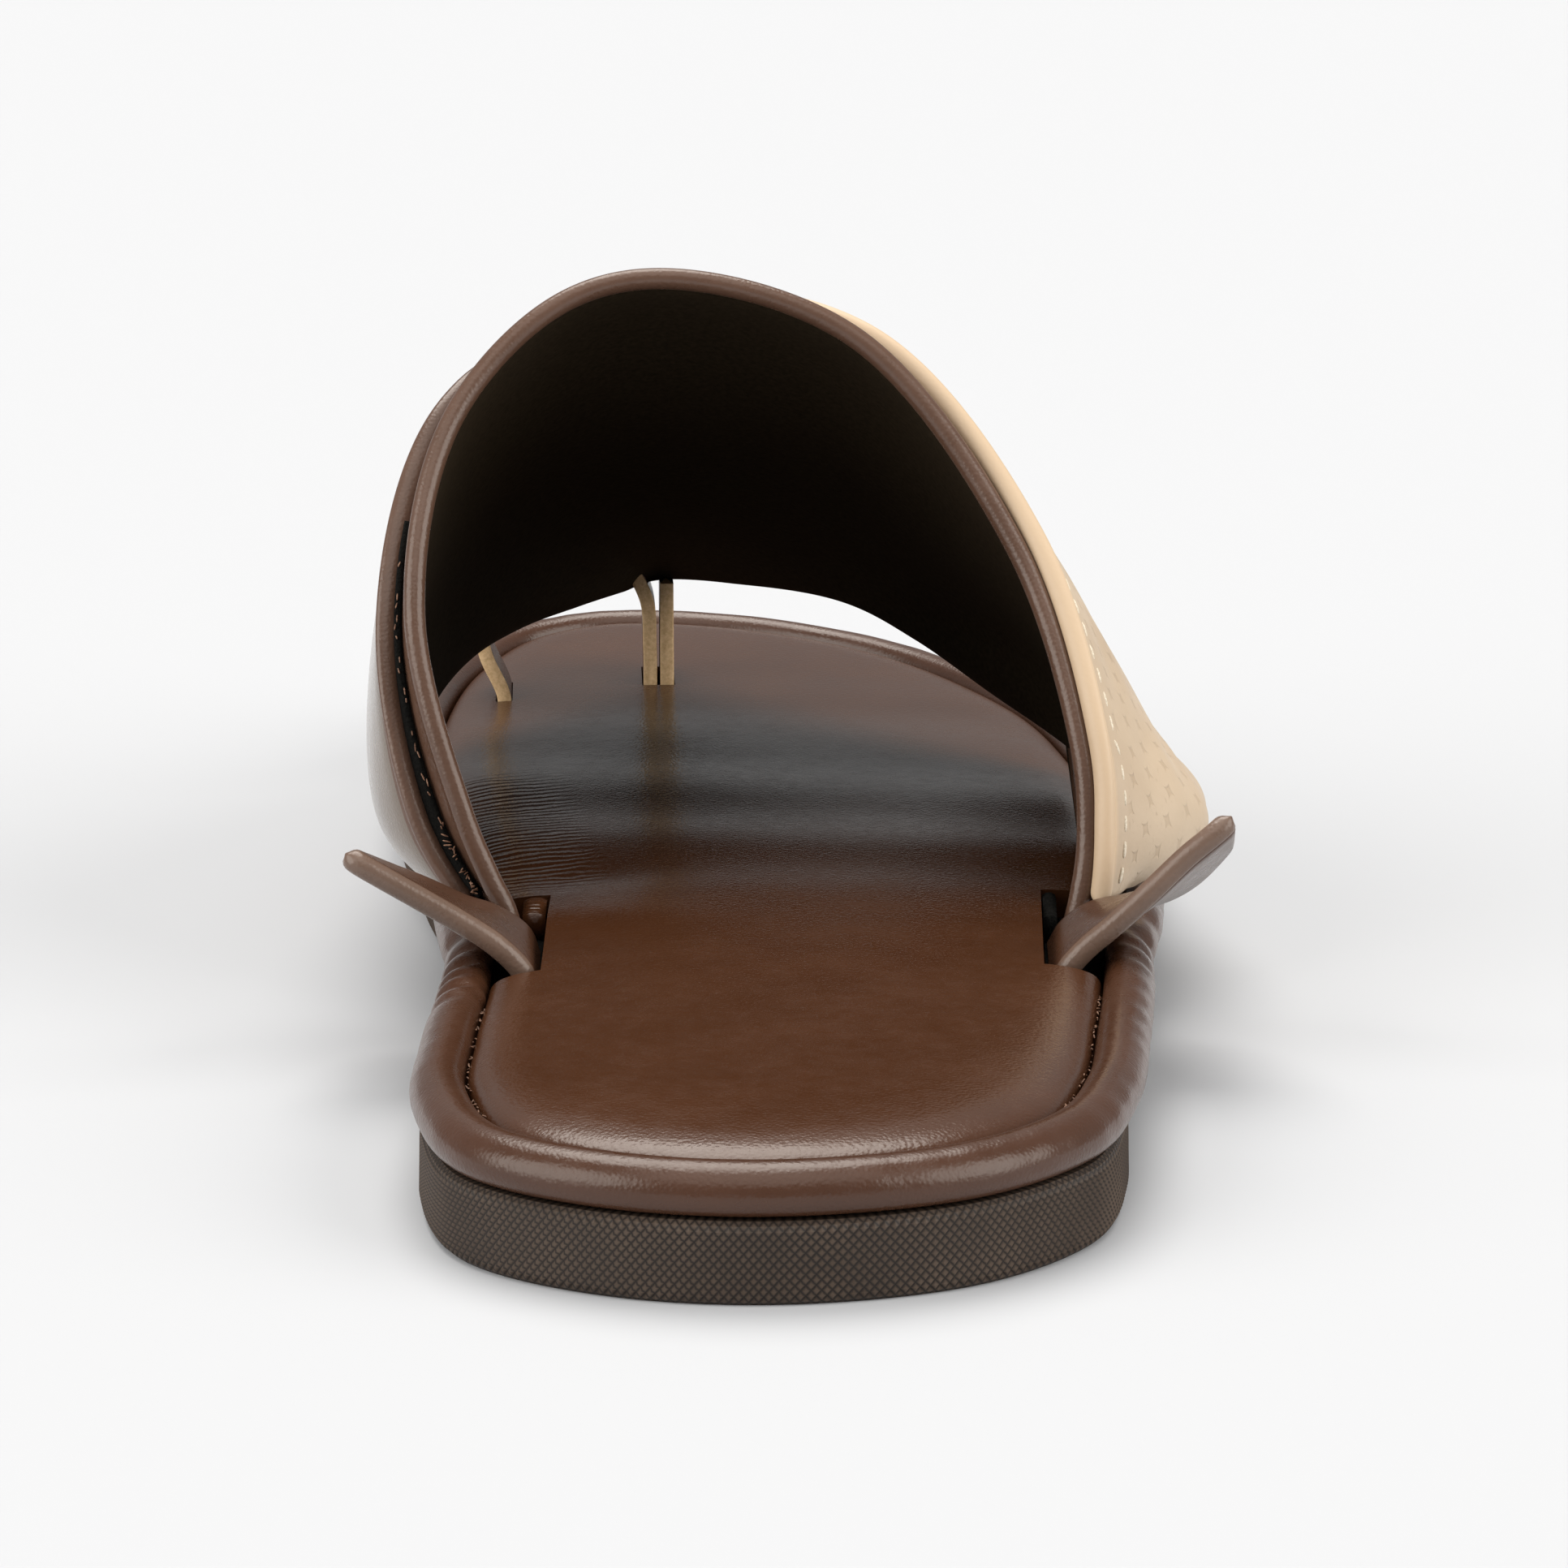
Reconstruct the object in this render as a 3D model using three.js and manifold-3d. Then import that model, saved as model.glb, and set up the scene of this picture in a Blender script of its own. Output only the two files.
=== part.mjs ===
import * as THREE from 'three';
import { mergeVertices } from 'three/addons/utils/BufferGeometryUtils.js';
import Module from 'manifold-3d';

const wasm = await Module();
wasm.setup();

// Right arabic sandal, millimetres. Modelled with the heel at y = 0 and the toes at +Y, the big toe at -X.

// Driving sizes.
const PERIMETER = 84; // stations round the sole
const HEEL_HEIGHT = 8.5; // outsole height under the heel
const BALL_HEIGHT = 7.0; // outsole height under the ball
const TOE_HEIGHT = 6.5; // outsole height at the toe
const TOE_SPRING = 5.4; // lift of the toe end
const SPRING_START = 195; // where the toe lift begins
const ARCH_RISE = 1.4; // hollow under the waist
const ARCH_FROM = 92;
const ARCH_TO = 152;
const OUTER_WAIST = 4.6; // how far the outsole is cut in at the waist, outer side
const INNER_WAIST = 2.6; // and inner side
const WAIST_FROM = 18;
const WAIST_TO = 225;
const SPINE_REAR = 36; // ends of the footbed's middle line
const SPINE_FRONT = 244;
const GAP = 0.3; // air between neighbouring pieces
const SEAT = 1.5; // floor of the footbed above the outsole
const WALL = 2.2; // thickness of the upper
const PANEL = 2.0; // thickness of the outer bands
const PANEL_GAP = 0.5; // air between upper and outer bands
const WING = 2.7; // thickness of the side wings
const STRIP = 2.0; // thickness of the toe strips
const STRIP_WIDTH = 10.5; // width of the toe strips

// Outline of the padded edge, heel round the outer side to the toe and back along the inner side.
const OUTLINE = [
  { x: -0.5, y: -0.4 },
  { x: 19.5, y: 4.6 },
  { x: 32.6, y: 17.0 },
  { x: 38.9, y: 34.0 },
  { x: 42.7, y: 56.0 },
  { x: 46.5, y: 82.0 },
  { x: 51.0, y: 112.0 },
  { x: 55.2, y: 150.0 },
  { x: 55.0, y: 190.0 },
  { x: 49.4, y: 230.0 },
  { x: 32.0, y: 263.5 },
  { x: 8.5, y: 280.6 },
  { x: -15.5, y: 284.6 },
  { x: -31.0, y: 276.0 },
  { x: -40.6, y: 256.0 },
  { x: -45.2, y: 226.0 },
  { x: -45.2, y: 193.0 },
  { x: -41.8, y: 155.0 },
  { x: -37.6, y: 116.0 },
  { x: -36.0, y: 82.0 },
  { x: -37.3, y: 54.0 },
  { x: -37.4, y: 34.0 },
  { x: -31.8, y: 14.0 },
  { x: -18.0, y: 3.2 },
];
const TOE_POINT = 12; // row of the toe in the outline

// Upper, middle of its wall: a row for each section from the rear edge to the front edge.
// Columns run from the inner slot over the instep to the outer slot, each as x, y, z.
const SECTIONS = [
  {
    innerFoot: [-27.2, 100, 10.9],
    innerBend: [-28.2, 100, 14.8],
    innerRim: [-29.8, 100.6, 18.8],
    innerKnee: [-32.7, 102, 26.2],
    innerWall: [-38.8, 110, 49],
    innerShoulder: [-34.4, 123, 70.5],
    innerCrown: [-21.2, 130, 83.6],
    ridge: [-7.5, 131, 86.3],
    outerShoulder: [14.5, 129, 79.1],
    outerWall: [33, 118.5, 55],
    outerKnee: [39.4, 107, 33],
    outerRim: [39.8, 103.5, 23],
    outerBend: [39.2, 101, 16],
    outerFoot: [38.4, 100, 10.9],
  },
  {
    innerFoot: [-29.6, 114, 10.8],
    innerBend: [-31.4, 114, 15.4],
    innerRim: [-36.2, 114, 18.2],
    innerKnee: [-39.9, 115, 23.2],
    innerWall: [-40.5, 121, 46],
    innerShoulder: [-34.2, 134.5, 66.8],
    innerCrown: [-21.4, 143.5, 77.0],
    ridge: [-8.0, 145, 79.6],
    outerShoulder: [15.6, 143, 72.6],
    outerWall: [35, 132, 51.4],
    outerKnee: [48.2, 120, 28.2],
    outerRim: [52.8, 117, 20.3],
    outerBend: [46.0, 115, 17.4],
    outerFoot: [40.4, 114, 11.2],
  },
  {
    innerFoot: [-32.0, 137, 10.6],
    innerBend: [-33.9, 137, 15.2],
    innerRim: [-38.4, 137, 17.8],
    innerKnee: [-41.5, 138, 22.4],
    innerWall: [-41.7, 143, 38],
    innerShoulder: [-35.4, 157, 54.6],
    innerCrown: [-22.2, 166, 62.8],
    ridge: [-8.2, 168, 64.6],
    outerShoulder: [16, 166, 59],
    outerWall: [37, 156, 42],
    outerKnee: [50.0, 142, 25],
    outerRim: [53.8, 140, 19.8],
    outerBend: [48.2, 138, 17.0],
    outerFoot: [43.4, 137, 10.8],
  },
  {
    innerFoot: [-38.4, 166, 17.2],
    innerBend: [-40.0, 166, 17.8],
    innerRim: [-41.5, 167, 19.6],
    innerKnee: [-42.3, 169, 24],
    innerWall: [-40.8, 176, 33],
    innerShoulder: [-33, 189, 41.4],
    innerCrown: [-21, 201, 45.2],
    ridge: [-8.2, 206, 46],
    outerShoulder: [14, 200, 43.5],
    outerWall: [35, 184, 34.5],
    outerKnee: [48.4, 168, 23.5],
    outerRim: [51.4, 164.5, 18.8],
    outerBend: [50.0, 163, 17.0],
    outerFoot: [48.2, 162, 16.6],
  },
  {
    innerFoot: [-41.0, 199, 19.4],
    innerBend: [-40.6, 202, 20.4],
    innerRim: [-39.5, 205, 21.8],
    innerKnee: [-34.5, 212.5, 25.0],
    innerWall: [-27, 220.5, 27.4],
    innerShoulder: [-19.5, 228.5, 28.4],
    innerCrown: [-13.2, 237, 28.8],
    ridge: [-8, 245, 29.2],
    outerShoulder: [3, 233.5, 30.6],
    outerWall: [17, 217, 31.2],
    outerKnee: [27, 204, 28.2],
    outerRim: [37, 193.5, 22.6],
    outerBend: [42.5, 188, 19.8],
    outerFoot: [46.5, 184.5, 18.2],
  },
];

// Side wings, middle of the leather: rear and front edges from the slot to the tip, each as x, z.
const INNER_WING = { rearY: 77, frontY: 97.5, turn: 5 };
const INNER_WING_ROWS = [
  { rear: [-25.7, 10.8], front: [-25.7, 10.7] },
  { rear: [-26.3, 13.4], front: [-26.6, 13.0] },
  { rear: [-29.2, 16.6], front: [-30.0, 15.4] },
  { rear: [-33.0, 19.3], front: [-33.6, 16.6] },
  { rear: [-37.5, 22.1], front: [-38.3, 18.8] },
  { rear: [-42.6, 25.2], front: [-42.6, 20.6] },
  { rear: [-46.0, 27.3], front: [-45.6, 21.9] },
];
const OUTER_WING = { rearY: 77, frontY: 97.5, turn: 5 };
const OUTER_WING_ROWS = [
  { rear: [35.0, 10.9], front: [36.6, 11.0] },
  { rear: [35.6, 12.8], front: [37.8, 13.0] },
  { rear: [37.6, 15.3], front: [40.8, 15.1] },
  { rear: [41.0, 18.4], front: [45.0, 16.0] },
  { rear: [45.2, 22.6], front: [49.2, 17.0] },
  { rear: [49.4, 26.8], front: [52.8, 18.8] },
  { rear: [54.2, 30.6], front: [56.4, 21.6] },
];

// Big-toe loop, middle of its leather: from the inner hole over the toe to the post, each as x, y, z of its rear edge.
const TOE_LOOP = [
  { x: -30.3, y: 230.5, z: 10.2 },
  { x: -30.7, y: 230.5, z: 14.5 },
  { x: -33.2, y: 230.5, z: 20.4 },
  { x: -34.0, y: 231, z: 26.5 },
  { x: -30.0, y: 232, z: 33.2 },
  { x: -22.0, y: 233.5, z: 36.4 },
  { x: -14.2, y: 235, z: 34.0 },
  { x: -9.9, y: 236.5, z: 27.5 },
  { x: -9.3, y: 237, z: 20.0 },
  { x: -9.3, y: 237, z: 10.5 },
];
const TOE_POST = [
  { x: -6.8, y: 237, z: 10.5 },
  { x: -6.8, y: 237, z: 20.0 },
  { x: -6.8, y: 237, z: 29.4 },
];

// Slots in the insole for the straps: their inner edges from the rear end to the front end, as x, y.
const INNER_SLOT = [[-24.2, 75.6], [-23.2, 112], [-27.4, 112.6], [-31.5, 152]];
const INNER_SLOT_FAR = -54;
const OUTER_SLOT = [[32.8, 75.6], [35.9, 112], [38.2, 112.6], [43.5, 152]];
const OUTER_SLOT_FAR = 62;
const HOLE_DEPTH = [2, 30];

const smooth = (t) => t * t * (3 - 2 * t);
const clamp01 = (t) => Math.min(1, Math.max(0, t));
const lerp = THREE.MathUtils.lerp;
const vec = (p) => new THREE.Vector3(p[0], p[1], p[2]);

// Underside of the outsole: flat heel and ball, a shallow arch between them, then the toe lift.
function ground(y) {
  const t = clamp01((y - ARCH_FROM) / (ARCH_TO - ARCH_FROM));
  const arch = ARCH_RISE * Math.sin(Math.PI * t) ** 2;
  const s = clamp01((y - SPRING_START) / (284 - SPRING_START));
  return arch + TOE_SPRING * s * s;
}

// Top of the outsole.
function deck(y) {
  const heel = lerp(HEEL_HEIGHT, BALL_HEIGHT, smooth(clamp01((y - 75) / 115)));
  const s = clamp01((y - SPRING_START) / (284 - SPRING_START));
  return lerp(heel, TOE_HEIGHT, s) + TOE_SPRING * s * s;
}

// Stations spaced evenly along each side, with the heel first and the toe half way.
const edge = new THREE.CatmullRomCurve3(OUTLINE.map((p) => new THREE.Vector3(p.x, p.y, 0)), true, 'centripetal');
function side(from, to, count) {
  const fine = 600;
  const walk = [0];
  let last = edge.getPoint(from);
  for (let i = 1; i <= fine; i++) {
    const next = edge.getPoint(lerp(from, to, i / fine) % 1);
    walk.push(walk[i - 1] + next.distanceTo(last));
    last = next;
  }
  const out = [];
  let k = 0;
  for (let i = 0; i < count; i++) {
    const want = (walk[fine] * i) / count;
    while (walk[k + 1] < want) k++;
    const part = (want - walk[k]) / (walk[k + 1] - walk[k]);
    out.push(edge.getPoint(lerp(from, to, (k + part) / fine) % 1));
  }
  return out;
}
const toeAt = TOE_POINT / OUTLINE.length;
const stations = [...side(0, toeAt, PERIMETER / 2), ...side(toeAt, 1, PERIMETER / 2)];
const inward = stations.map((p, i) => {
  const before = stations[(i + PERIMETER - 1) % PERIMETER];
  const after = stations[(i + 1) % PERIMETER];
  const run = after.clone().sub(before).normalize();
  return new THREE.Vector3(-run.y, run.x, 0);
});

// The outsole is cut in under the padded edge at the waist, more on the outer side.
function waist(p) {
  const t = clamp01((p.y - WAIST_FROM) / (WAIST_TO - WAIST_FROM));
  return Math.sin(Math.PI * t ** 0.8) ** 1.5 * (p.x > 0 ? OUTER_WAIST : INNER_WAIST);
}

// One ring of the sole, set in from the outline and drawn part of the way to the middle.
function ring(inset, height, towardMiddle = 0, cut = () => 0) {
  const set = stations.map((p, i) => p.clone().addScaledVector(inward[i], inset + cut(p)));
  return set.map((p, i) => {
    const other = set[(PERIMETER - i) % PERIMETER];
    const mid = p.clone().add(other).multiplyScalar(0.5);
    mid.y = THREE.MathUtils.clamp(mid.y, SPINE_REAR, SPINE_FRONT);
    const q = p.clone().lerp(mid, towardMiddle);
    q.z = height(q.y);
    return q;
  });
}

// A closed body from equal rings, its ends closed by strips across the sandal.
function stack(rings) {
  const n = PERIMETER;
  const index = [];
  for (let r = 0; r + 1 < rings.length; r++) {
    for (let i = 0; i < n; i++) {
      const j = (i + 1) % n;
      index.push(r * n + i, r * n + j, (r + 1) * n + j);
      index.push(r * n + i, (r + 1) * n + j, (r + 1) * n + i);
    }
  }
  const cap = (base, up) => {
    const tri = (a, b, c) => index.push(...(up ? [base + a, base + b, base + c] : [base + a, base + c, base + b]));
    tri(0, 1, n - 1);
    for (let i = 1; i < n / 2 - 1; i++) {
      tri(i, i + 1, n - i - 1);
      tri(i, n - i - 1, n - i);
    }
    tri(n / 2 - 1, n / 2, n / 2 + 1);
  };
  cap(0, false);
  cap((rings.length - 1) * n, true);
  return body(rings.flat(), index);
}

function body(points, index) {
  const geometry = new THREE.BufferGeometry();
  geometry.setAttribute('position', new THREE.Float32BufferAttribute(points.flatMap((p) => [p.x, p.y, p.z]), 3));
  geometry.setIndex(index);
  return geometry;
}

// A closed sheet between two offsets of a surface given by a function of two numbers from 0 to 1.
function sheet(pointAt, rows, cols, low, high) {
  const step = 1e-3;
  const grids = [low, high].map(() => []);
  for (let r = 0; r <= rows; r++) {
    for (let k = 0; k <= cols; k++) {
      const a = r / rows;
      const b = k / cols;
      const p = pointAt(a, b);
      const da = pointAt(Math.min(1, a + step), b).sub(pointAt(Math.max(0, a - step), b));
      const db = pointAt(a, Math.min(1, b + step)).sub(pointAt(a, Math.max(0, b - step)));
      const normal = db.cross(da).normalize();
      grids[0].push(p.clone().addScaledVector(normal, low));
      grids[1].push(p.clone().addScaledVector(normal, high));
    }
  }
  const w = cols + 1;
  const count = grids[0].length;
  const index = [];
  for (let r = 0; r < rows; r++) {
    for (let k = 0; k < cols; k++) {
      const a = r * w + k;
      index.push(count + a, count + a + 1, count + a + w + 1);
      index.push(count + a, count + a + w + 1, count + a + w);
      index.push(a, a + w + 1, a + 1);
      index.push(a, a + w, a + w + 1);
    }
  }
  const loop = [];
  for (let k = 0; k < cols; k++) loop.push(k);
  for (let r = 0; r < rows; r++) loop.push(r * w + cols);
  for (let k = cols; k > 0; k--) loop.push(rows * w + k);
  for (let r = rows; r > 0; r--) loop.push(r * w);
  loop.forEach((a, i) => {
    const b = loop[(i + 1) % loop.length];
    index.push(a, b, count + b);
    index.push(a, count + b, count + a);
  });
  return body(grids.flat(), index);
}

const curveOf = (points) => new THREE.CatmullRomCurve3(points, false, 'centripetal');

// The upper's own surface: u from the rear edge to the front edge, v from the inner slot to the outer slot.
const columns = Object.keys(SECTIONS[0]);
const lengthwise = columns.map((name) => curveOf(SECTIONS.map((row) => vec(row[name]))));
const upperCache = new Map();
function upperAt(u, v) {
  const key = Math.round(u * 1e7);
  if (!upperCache.has(key)) upperCache.set(key, curveOf(lengthwise.map((c) => c.getPoint(u))));
  return upperCache.get(key).getPoint(v);
}

// Rear edge of the tan band on the upper, and its front edge, as u and v from the outer slot inward.
const flat = (rows) => curveOf(rows.map((r) => new THREE.Vector3(r.u, r.v, 0)));
const tanRear = flat([
  { u: 0.004, v: 0.935 },
  { u: 0.004, v: 0.82 },
  { u: 0.012, v: 0.7 },
  { u: 0.12, v: 0.605 },
  { u: 0.36, v: 0.49 },
  { u: 0.62, v: 0.39 },
  { u: 0.9, v: 0.31 },
]);
const tanFront = flat([
  { u: 0.46, v: 0.935 },
  { u: 0.5, v: 0.87 },
  { u: 0.58, v: 0.76 },
  { u: 0.68, v: 0.67 },
  { u: 0.78, v: 0.6 },
  { u: 0.88, v: 0.54 },
  { u: 0.95, v: 0.48 },
]);
function tanBand(a, b) {
  const p = tanFront.getPoint(1 - b).lerp(tanRear.getPoint(1 - b), 1 - a);
  return upperAt(p.x, p.y);
}

// The brown band runs from the inner slot up to the rear edge of the tan band.
const BROWN_FOOT = { rear: 0.09, front: 0.46, v: 0.12 };
const BROWN_END = { rear: 0.66, front: 0.84, clear: 0.016 };
function brownBand(a, b) {
  const end = tanRear.getPoint(lerp(BROWN_END.rear, BROWN_END.front, a));
  const u = lerp(lerp(BROWN_FOOT.rear, BROWN_FOOT.front, a), end.x - BROWN_END.clear * 0.6, b ** 1.2);
  return upperAt(u, lerp(BROWN_FOOT.v, end.y - BROWN_END.clear, b));
}

// A wing from its two edge rows, with its outer corners turned in.
function wingAt(rows, place) {
  const rear = curveOf(rows.map((r) => new THREE.Vector3(r.rear[0], place.rearY, r.rear[1])));
  const front = curveOf(rows.map((r) => new THREE.Vector3(r.front[0], place.frontY, r.front[1])));
  return (a, b) => {
    const p = rear.getPoint(a).lerp(front.getPoint(a), b);
    const round = clamp01((a - 0.8) / 0.2);
    const pull = place.turn * (1 - Math.sqrt(1 - 0.96 * round * round));
    p.y += pull * (1 - 2 * b) * (b < 0.5 ? 0.35 : 1);
    return p;
  };
}

// A toe strip: its rear edge follows the rows and its width runs to the front.
function stripAt(rows) {
  const path = curveOf(rows.map((r) => new THREE.Vector3(r.x, r.y, r.z)));
  return (a, b) => path.getPoint(a).add(new THREE.Vector3(0, STRIP_WIDTH * b, 0));
}

function toSolid(geometry) {
  const merged = mergeVertices(geometry, 1e-4);
  const mesh = new wasm.Mesh({
    numProp: 3,
    vertProperties: new Float32Array(merged.attributes.position.array),
    triVerts: new Uint32Array(merged.index.array),
  });
  return new wasm.Manifold(mesh);
}

function fromSolid(solid) {
  const mesh = solid.getMesh();
  const geometry = new THREE.BufferGeometry();
  geometry.setAttribute('position', new THREE.BufferAttribute(new Float32Array(mesh.vertProperties), 3));
  geometry.setIndex(new THREE.BufferAttribute(new Uint32Array(mesh.triVerts), 1));
  return mergeVertices(geometry, 1e-4);
}

// An upright prism through the footbed, from a plan outline.
function well(plan) {
  const points = [];
  for (const z of HOLE_DEPTH) for (const [x, y] of plan) points.push(new THREE.Vector3(x, y, z));
  const n = plan.length;
  const index = [];
  for (let i = 0; i < n; i++) {
    const j = (i + 1) % n;
    index.push(i, j, n + j, i, n + j, n + i);
  }
  for (let i = 1; i + 1 < n; i++) index.push(0, i + 1, i, n, n + i, n + i + 1);
  return toSolid(body(points, index));
}

const group = new THREE.Group();
group.name = 'arabic_sandal';
function add(name, geometry, colour, roughness) {
  geometry.computeVertexNormals();
  const material = new THREE.MeshStandardMaterial({ color: colour, roughness });
  const mesh = new THREE.Mesh(geometry, material);
  mesh.name = name;
  group.add(mesh);
}

// Outsole: side wall with eased edges.
add('outsole', stack([
  ring(2.4, ground, 0, waist),
  ring(0.8, ground, 0, waist),
  ring(0.3, (y) => ground(y) + 0.7, 0, waist),
  ring(0.5, (y) => deck(y) - 0.6, 0, waist),
  ring(1.1, deck, 0, waist),
]), 0x3e322a, 0.8);

// Padded footbed base with the rolled edge round it.
const above = (lift) => (y) => deck(y) + lift;
add('footbed_rim', stack([
  ring(1.3, above(GAP)),
  ring(0.3, above(1.1)),
  ring(0.0, above(2.4)),
  ring(0.5, above(3.9)),
  ring(1.8, above(5.1)),
  ring(3.4, above(5.5)),
  ring(5.0, above(5.0)),
  ring(5.8, above(3.8)),
  ring(6.0, above(SEAT)),
]), 0x4b2e1e, 0.5);

// Insole: a crowned pad inside the rolled edge, cut through where the straps pass.
const pad = toSolid(stack([
  ring(6.5, above(SEAT + GAP)),
  ring(6.3, above(4.0)),
  ring(6.9, above(4.9)),
  ring(8.6, above(5.6)),
  ring(8.6, above(6.1), 0.3),
  ring(8.6, above(6.4), 0.65),
]));
const cuts = [
  well([[INNER_SLOT_FAR, 75.6], ...INNER_SLOT, [INNER_SLOT_FAR, 152]]),
  well([[OUTER_SLOT_FAR, 152], ...[...OUTER_SLOT].reverse(), [OUTER_SLOT_FAR, 75.6]]),
  well([[-11.0, 236.4], [-5.1, 236.4], [-5.1, 248.2], [-11.0, 248.2]]),
  well([[-32.2, 229.9], [-28.6, 229.9], [-28.6, 241.7], [-32.2, 241.7]]),
];
add('insole', fromSolid(cuts.reduce((solid, cut) => solid.subtract(cut), pad)), 0x4b2e1e, 0.55);

// Upper: the instep band joined with the big-toe loop and the toe post.
const half = WALL / 2;
const band = toSolid(sheet(upperAt, 16, 60, -half, half));
const loop = toSolid(sheet(stripAt(TOE_LOOP), 36, 1, -STRIP / 2, STRIP / 2));
const post = toSolid(sheet(stripAt(TOE_POST), 4, 1, -STRIP / 2, STRIP / 2));
add('upper', fromSolid(band.add(loop).add(post)), 0x4a2d1d, 0.5);

// Outer bands lie on the upper.
const under = half + PANEL_GAP;
add('medial_panel', sheet(brownBand, 8, 30, under, under + PANEL), 0x5a463a, 0.5);
add('lateral_panel', sheet(tanBand, 9, 44, under, under + PANEL), 0xd6bf9c, 0.55);

// Side wings.
add('medial_wing', sheet(wingAt(INNER_WING_ROWS, INNER_WING), 16, 6, -WING / 2, WING / 2), 0x4a2d1d, 0.5);
add('lateral_wing', sheet(wingAt(OUTER_WING_ROWS, OUTER_WING), 16, 6, -WING / 2, WING / 2), 0x4a2d1d, 0.5);

// Bottom centre of the whole box becomes the origin.
const box = new THREE.Box3().setFromObject(group);
const middle = box.getCenter(new THREE.Vector3());
group.children.forEach((mesh) => mesh.geometry.translate(-middle.x, -middle.y, -box.min.z));

export default group;
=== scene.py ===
import math
import random

import bpy
import numpy as np
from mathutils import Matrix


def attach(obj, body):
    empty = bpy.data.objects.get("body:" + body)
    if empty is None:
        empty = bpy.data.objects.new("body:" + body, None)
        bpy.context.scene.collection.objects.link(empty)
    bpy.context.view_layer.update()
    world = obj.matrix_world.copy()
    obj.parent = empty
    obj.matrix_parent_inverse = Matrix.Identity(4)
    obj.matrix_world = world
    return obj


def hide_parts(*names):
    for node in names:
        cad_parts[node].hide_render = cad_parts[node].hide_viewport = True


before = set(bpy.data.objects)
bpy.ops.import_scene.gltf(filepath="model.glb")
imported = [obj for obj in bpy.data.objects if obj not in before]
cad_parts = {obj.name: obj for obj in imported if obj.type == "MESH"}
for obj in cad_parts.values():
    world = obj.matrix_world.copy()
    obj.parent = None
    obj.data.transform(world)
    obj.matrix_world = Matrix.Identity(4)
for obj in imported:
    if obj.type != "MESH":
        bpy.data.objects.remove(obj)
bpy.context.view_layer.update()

# Outsole: one moulded rubber unit with a flat heel and ball, a shallow arch and a little toe lift.
# Its side wall carries a fine net of raised diamonds, and its underside is plain.
# It is cemented under the footbed and cut in at the waist.
MM = 0.001
HEEL_TO_ORIGIN = np.array([5.454874, 142.172864, 0.0])
OUTLINE = np.array([
    [-0.5, -0.4], [19.5, 4.6], [32.6, 17.0], [38.9, 34.0], [42.7, 56.0], [46.5, 82.0],
    [51.0, 112.0], [55.2, 150.0], [55.0, 190.0], [49.4, 230.0], [32.0, 263.5], [8.5, 280.6],
    [-15.5, 284.6], [-31.0, 276.0], [-40.6, 256.0], [-45.2, 226.0], [-45.2, 193.0], [-41.8, 155.0],
    [-37.6, 116.0], [-36.0, 82.0], [-37.3, 54.0], [-37.4, 34.0], [-31.8, 14.0], [-18.0, 3.2],
])
TOE_ROW = 12
SPINE_REAR, SPINE_FRONT = 36.0, 244.0


def smooth_curve(rows, t, closed=False):
    """Points of a smooth curve through rows, t from 0 to 1."""
    rows = np.asarray(rows, float)
    n = len(rows)
    at = np.atleast_1d(np.asarray(t, float)) * (n if closed else n - 1)
    seg = np.floor(at).astype(int)
    if not closed:
        seg = np.clip(seg, 0, n - 2)
    w = (at - seg)[:, None]
    if closed:
        p0, p1, p2, p3 = (rows[(seg + k) % n] for k in (-1, 0, 1, 2))
    else:
        long = np.vstack([2 * rows[0] - rows[1], rows, 2 * rows[-1] - rows[-2]])
        p0, p1, p2, p3 = (long[seg + k] for k in (0, 1, 2, 3))
    d0, d1, d2 = (np.sqrt(np.linalg.norm(b - a, axis=1))[:, None] for a, b in ((p0, p1), (p1, p2), (p2, p3)))
    t1 = ((p1 - p0) / d0 - (p2 - p0) / (d0 + d1) + (p2 - p1) / d1) * d1
    t2 = ((p2 - p1) / d1 - (p3 - p1) / (d1 + d2) + (p3 - p2) / d2) * d1
    return p1 + t1 * w + (3 * (p2 - p1) - 2 * t1 - t2) * w**2 + (2 * (p1 - p2) + t1 + t2) * w**3


def ease(t):
    """A smooth rise from 0 to 1."""
    t = np.clip(t, 0, 1)
    return t * t * (3 - 2 * t)


def ground(y):
    """Height of the outsole's underside above the floor."""
    arch = 1.4 * np.sin(np.pi * np.clip((y - 92) / 60, 0, 1)) ** 2
    lift = np.clip((y - 195) / 89, 0, 1)
    return arch + 5.4 * lift**2


def deck(y):
    """Height of the outsole's top."""
    lift = np.clip((y - 195) / 89, 0, 1)
    heel = 8.5 - 1.5 * ease((y - 75) / 115)
    return heel + (6.5 - heel) * lift + 5.4 * lift**2


def edge_stations(count):
    """Even stations round the outline, heel first and toe half way, with their inward directions."""
    parts = []
    for start, end in ((0.0, TOE_ROW / len(OUTLINE)), (TOE_ROW / len(OUTLINE), 1.0)):
        fine = smooth_curve(OUTLINE, np.linspace(start, end, 3001) % 1.0, closed=True)
        walk = np.concatenate([[0], np.cumsum(np.linalg.norm(np.diff(fine, axis=0), axis=1))])
        want = np.arange(count // 2) * walk[-1] / (count // 2)
        parts.append(np.column_stack([np.interp(want, walk, fine[:, k]) for k in (0, 1)]))
    place = np.vstack(parts)
    run = np.roll(place, -1, axis=0) - np.roll(place, 1, axis=0)
    run /= np.linalg.norm(run, axis=1)[:, None]
    return place, np.column_stack([-run[:, 1], run[:, 0]])


def waist(place):
    """How far the outsole is cut in under the footbed."""
    t = np.clip((place[:, 1] - 18) / 207, 0, 1)
    return np.sin(np.pi * t**0.8) ** 1.5 * np.where(place[:, 0] > 0, 4.6, 2.6)


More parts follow.
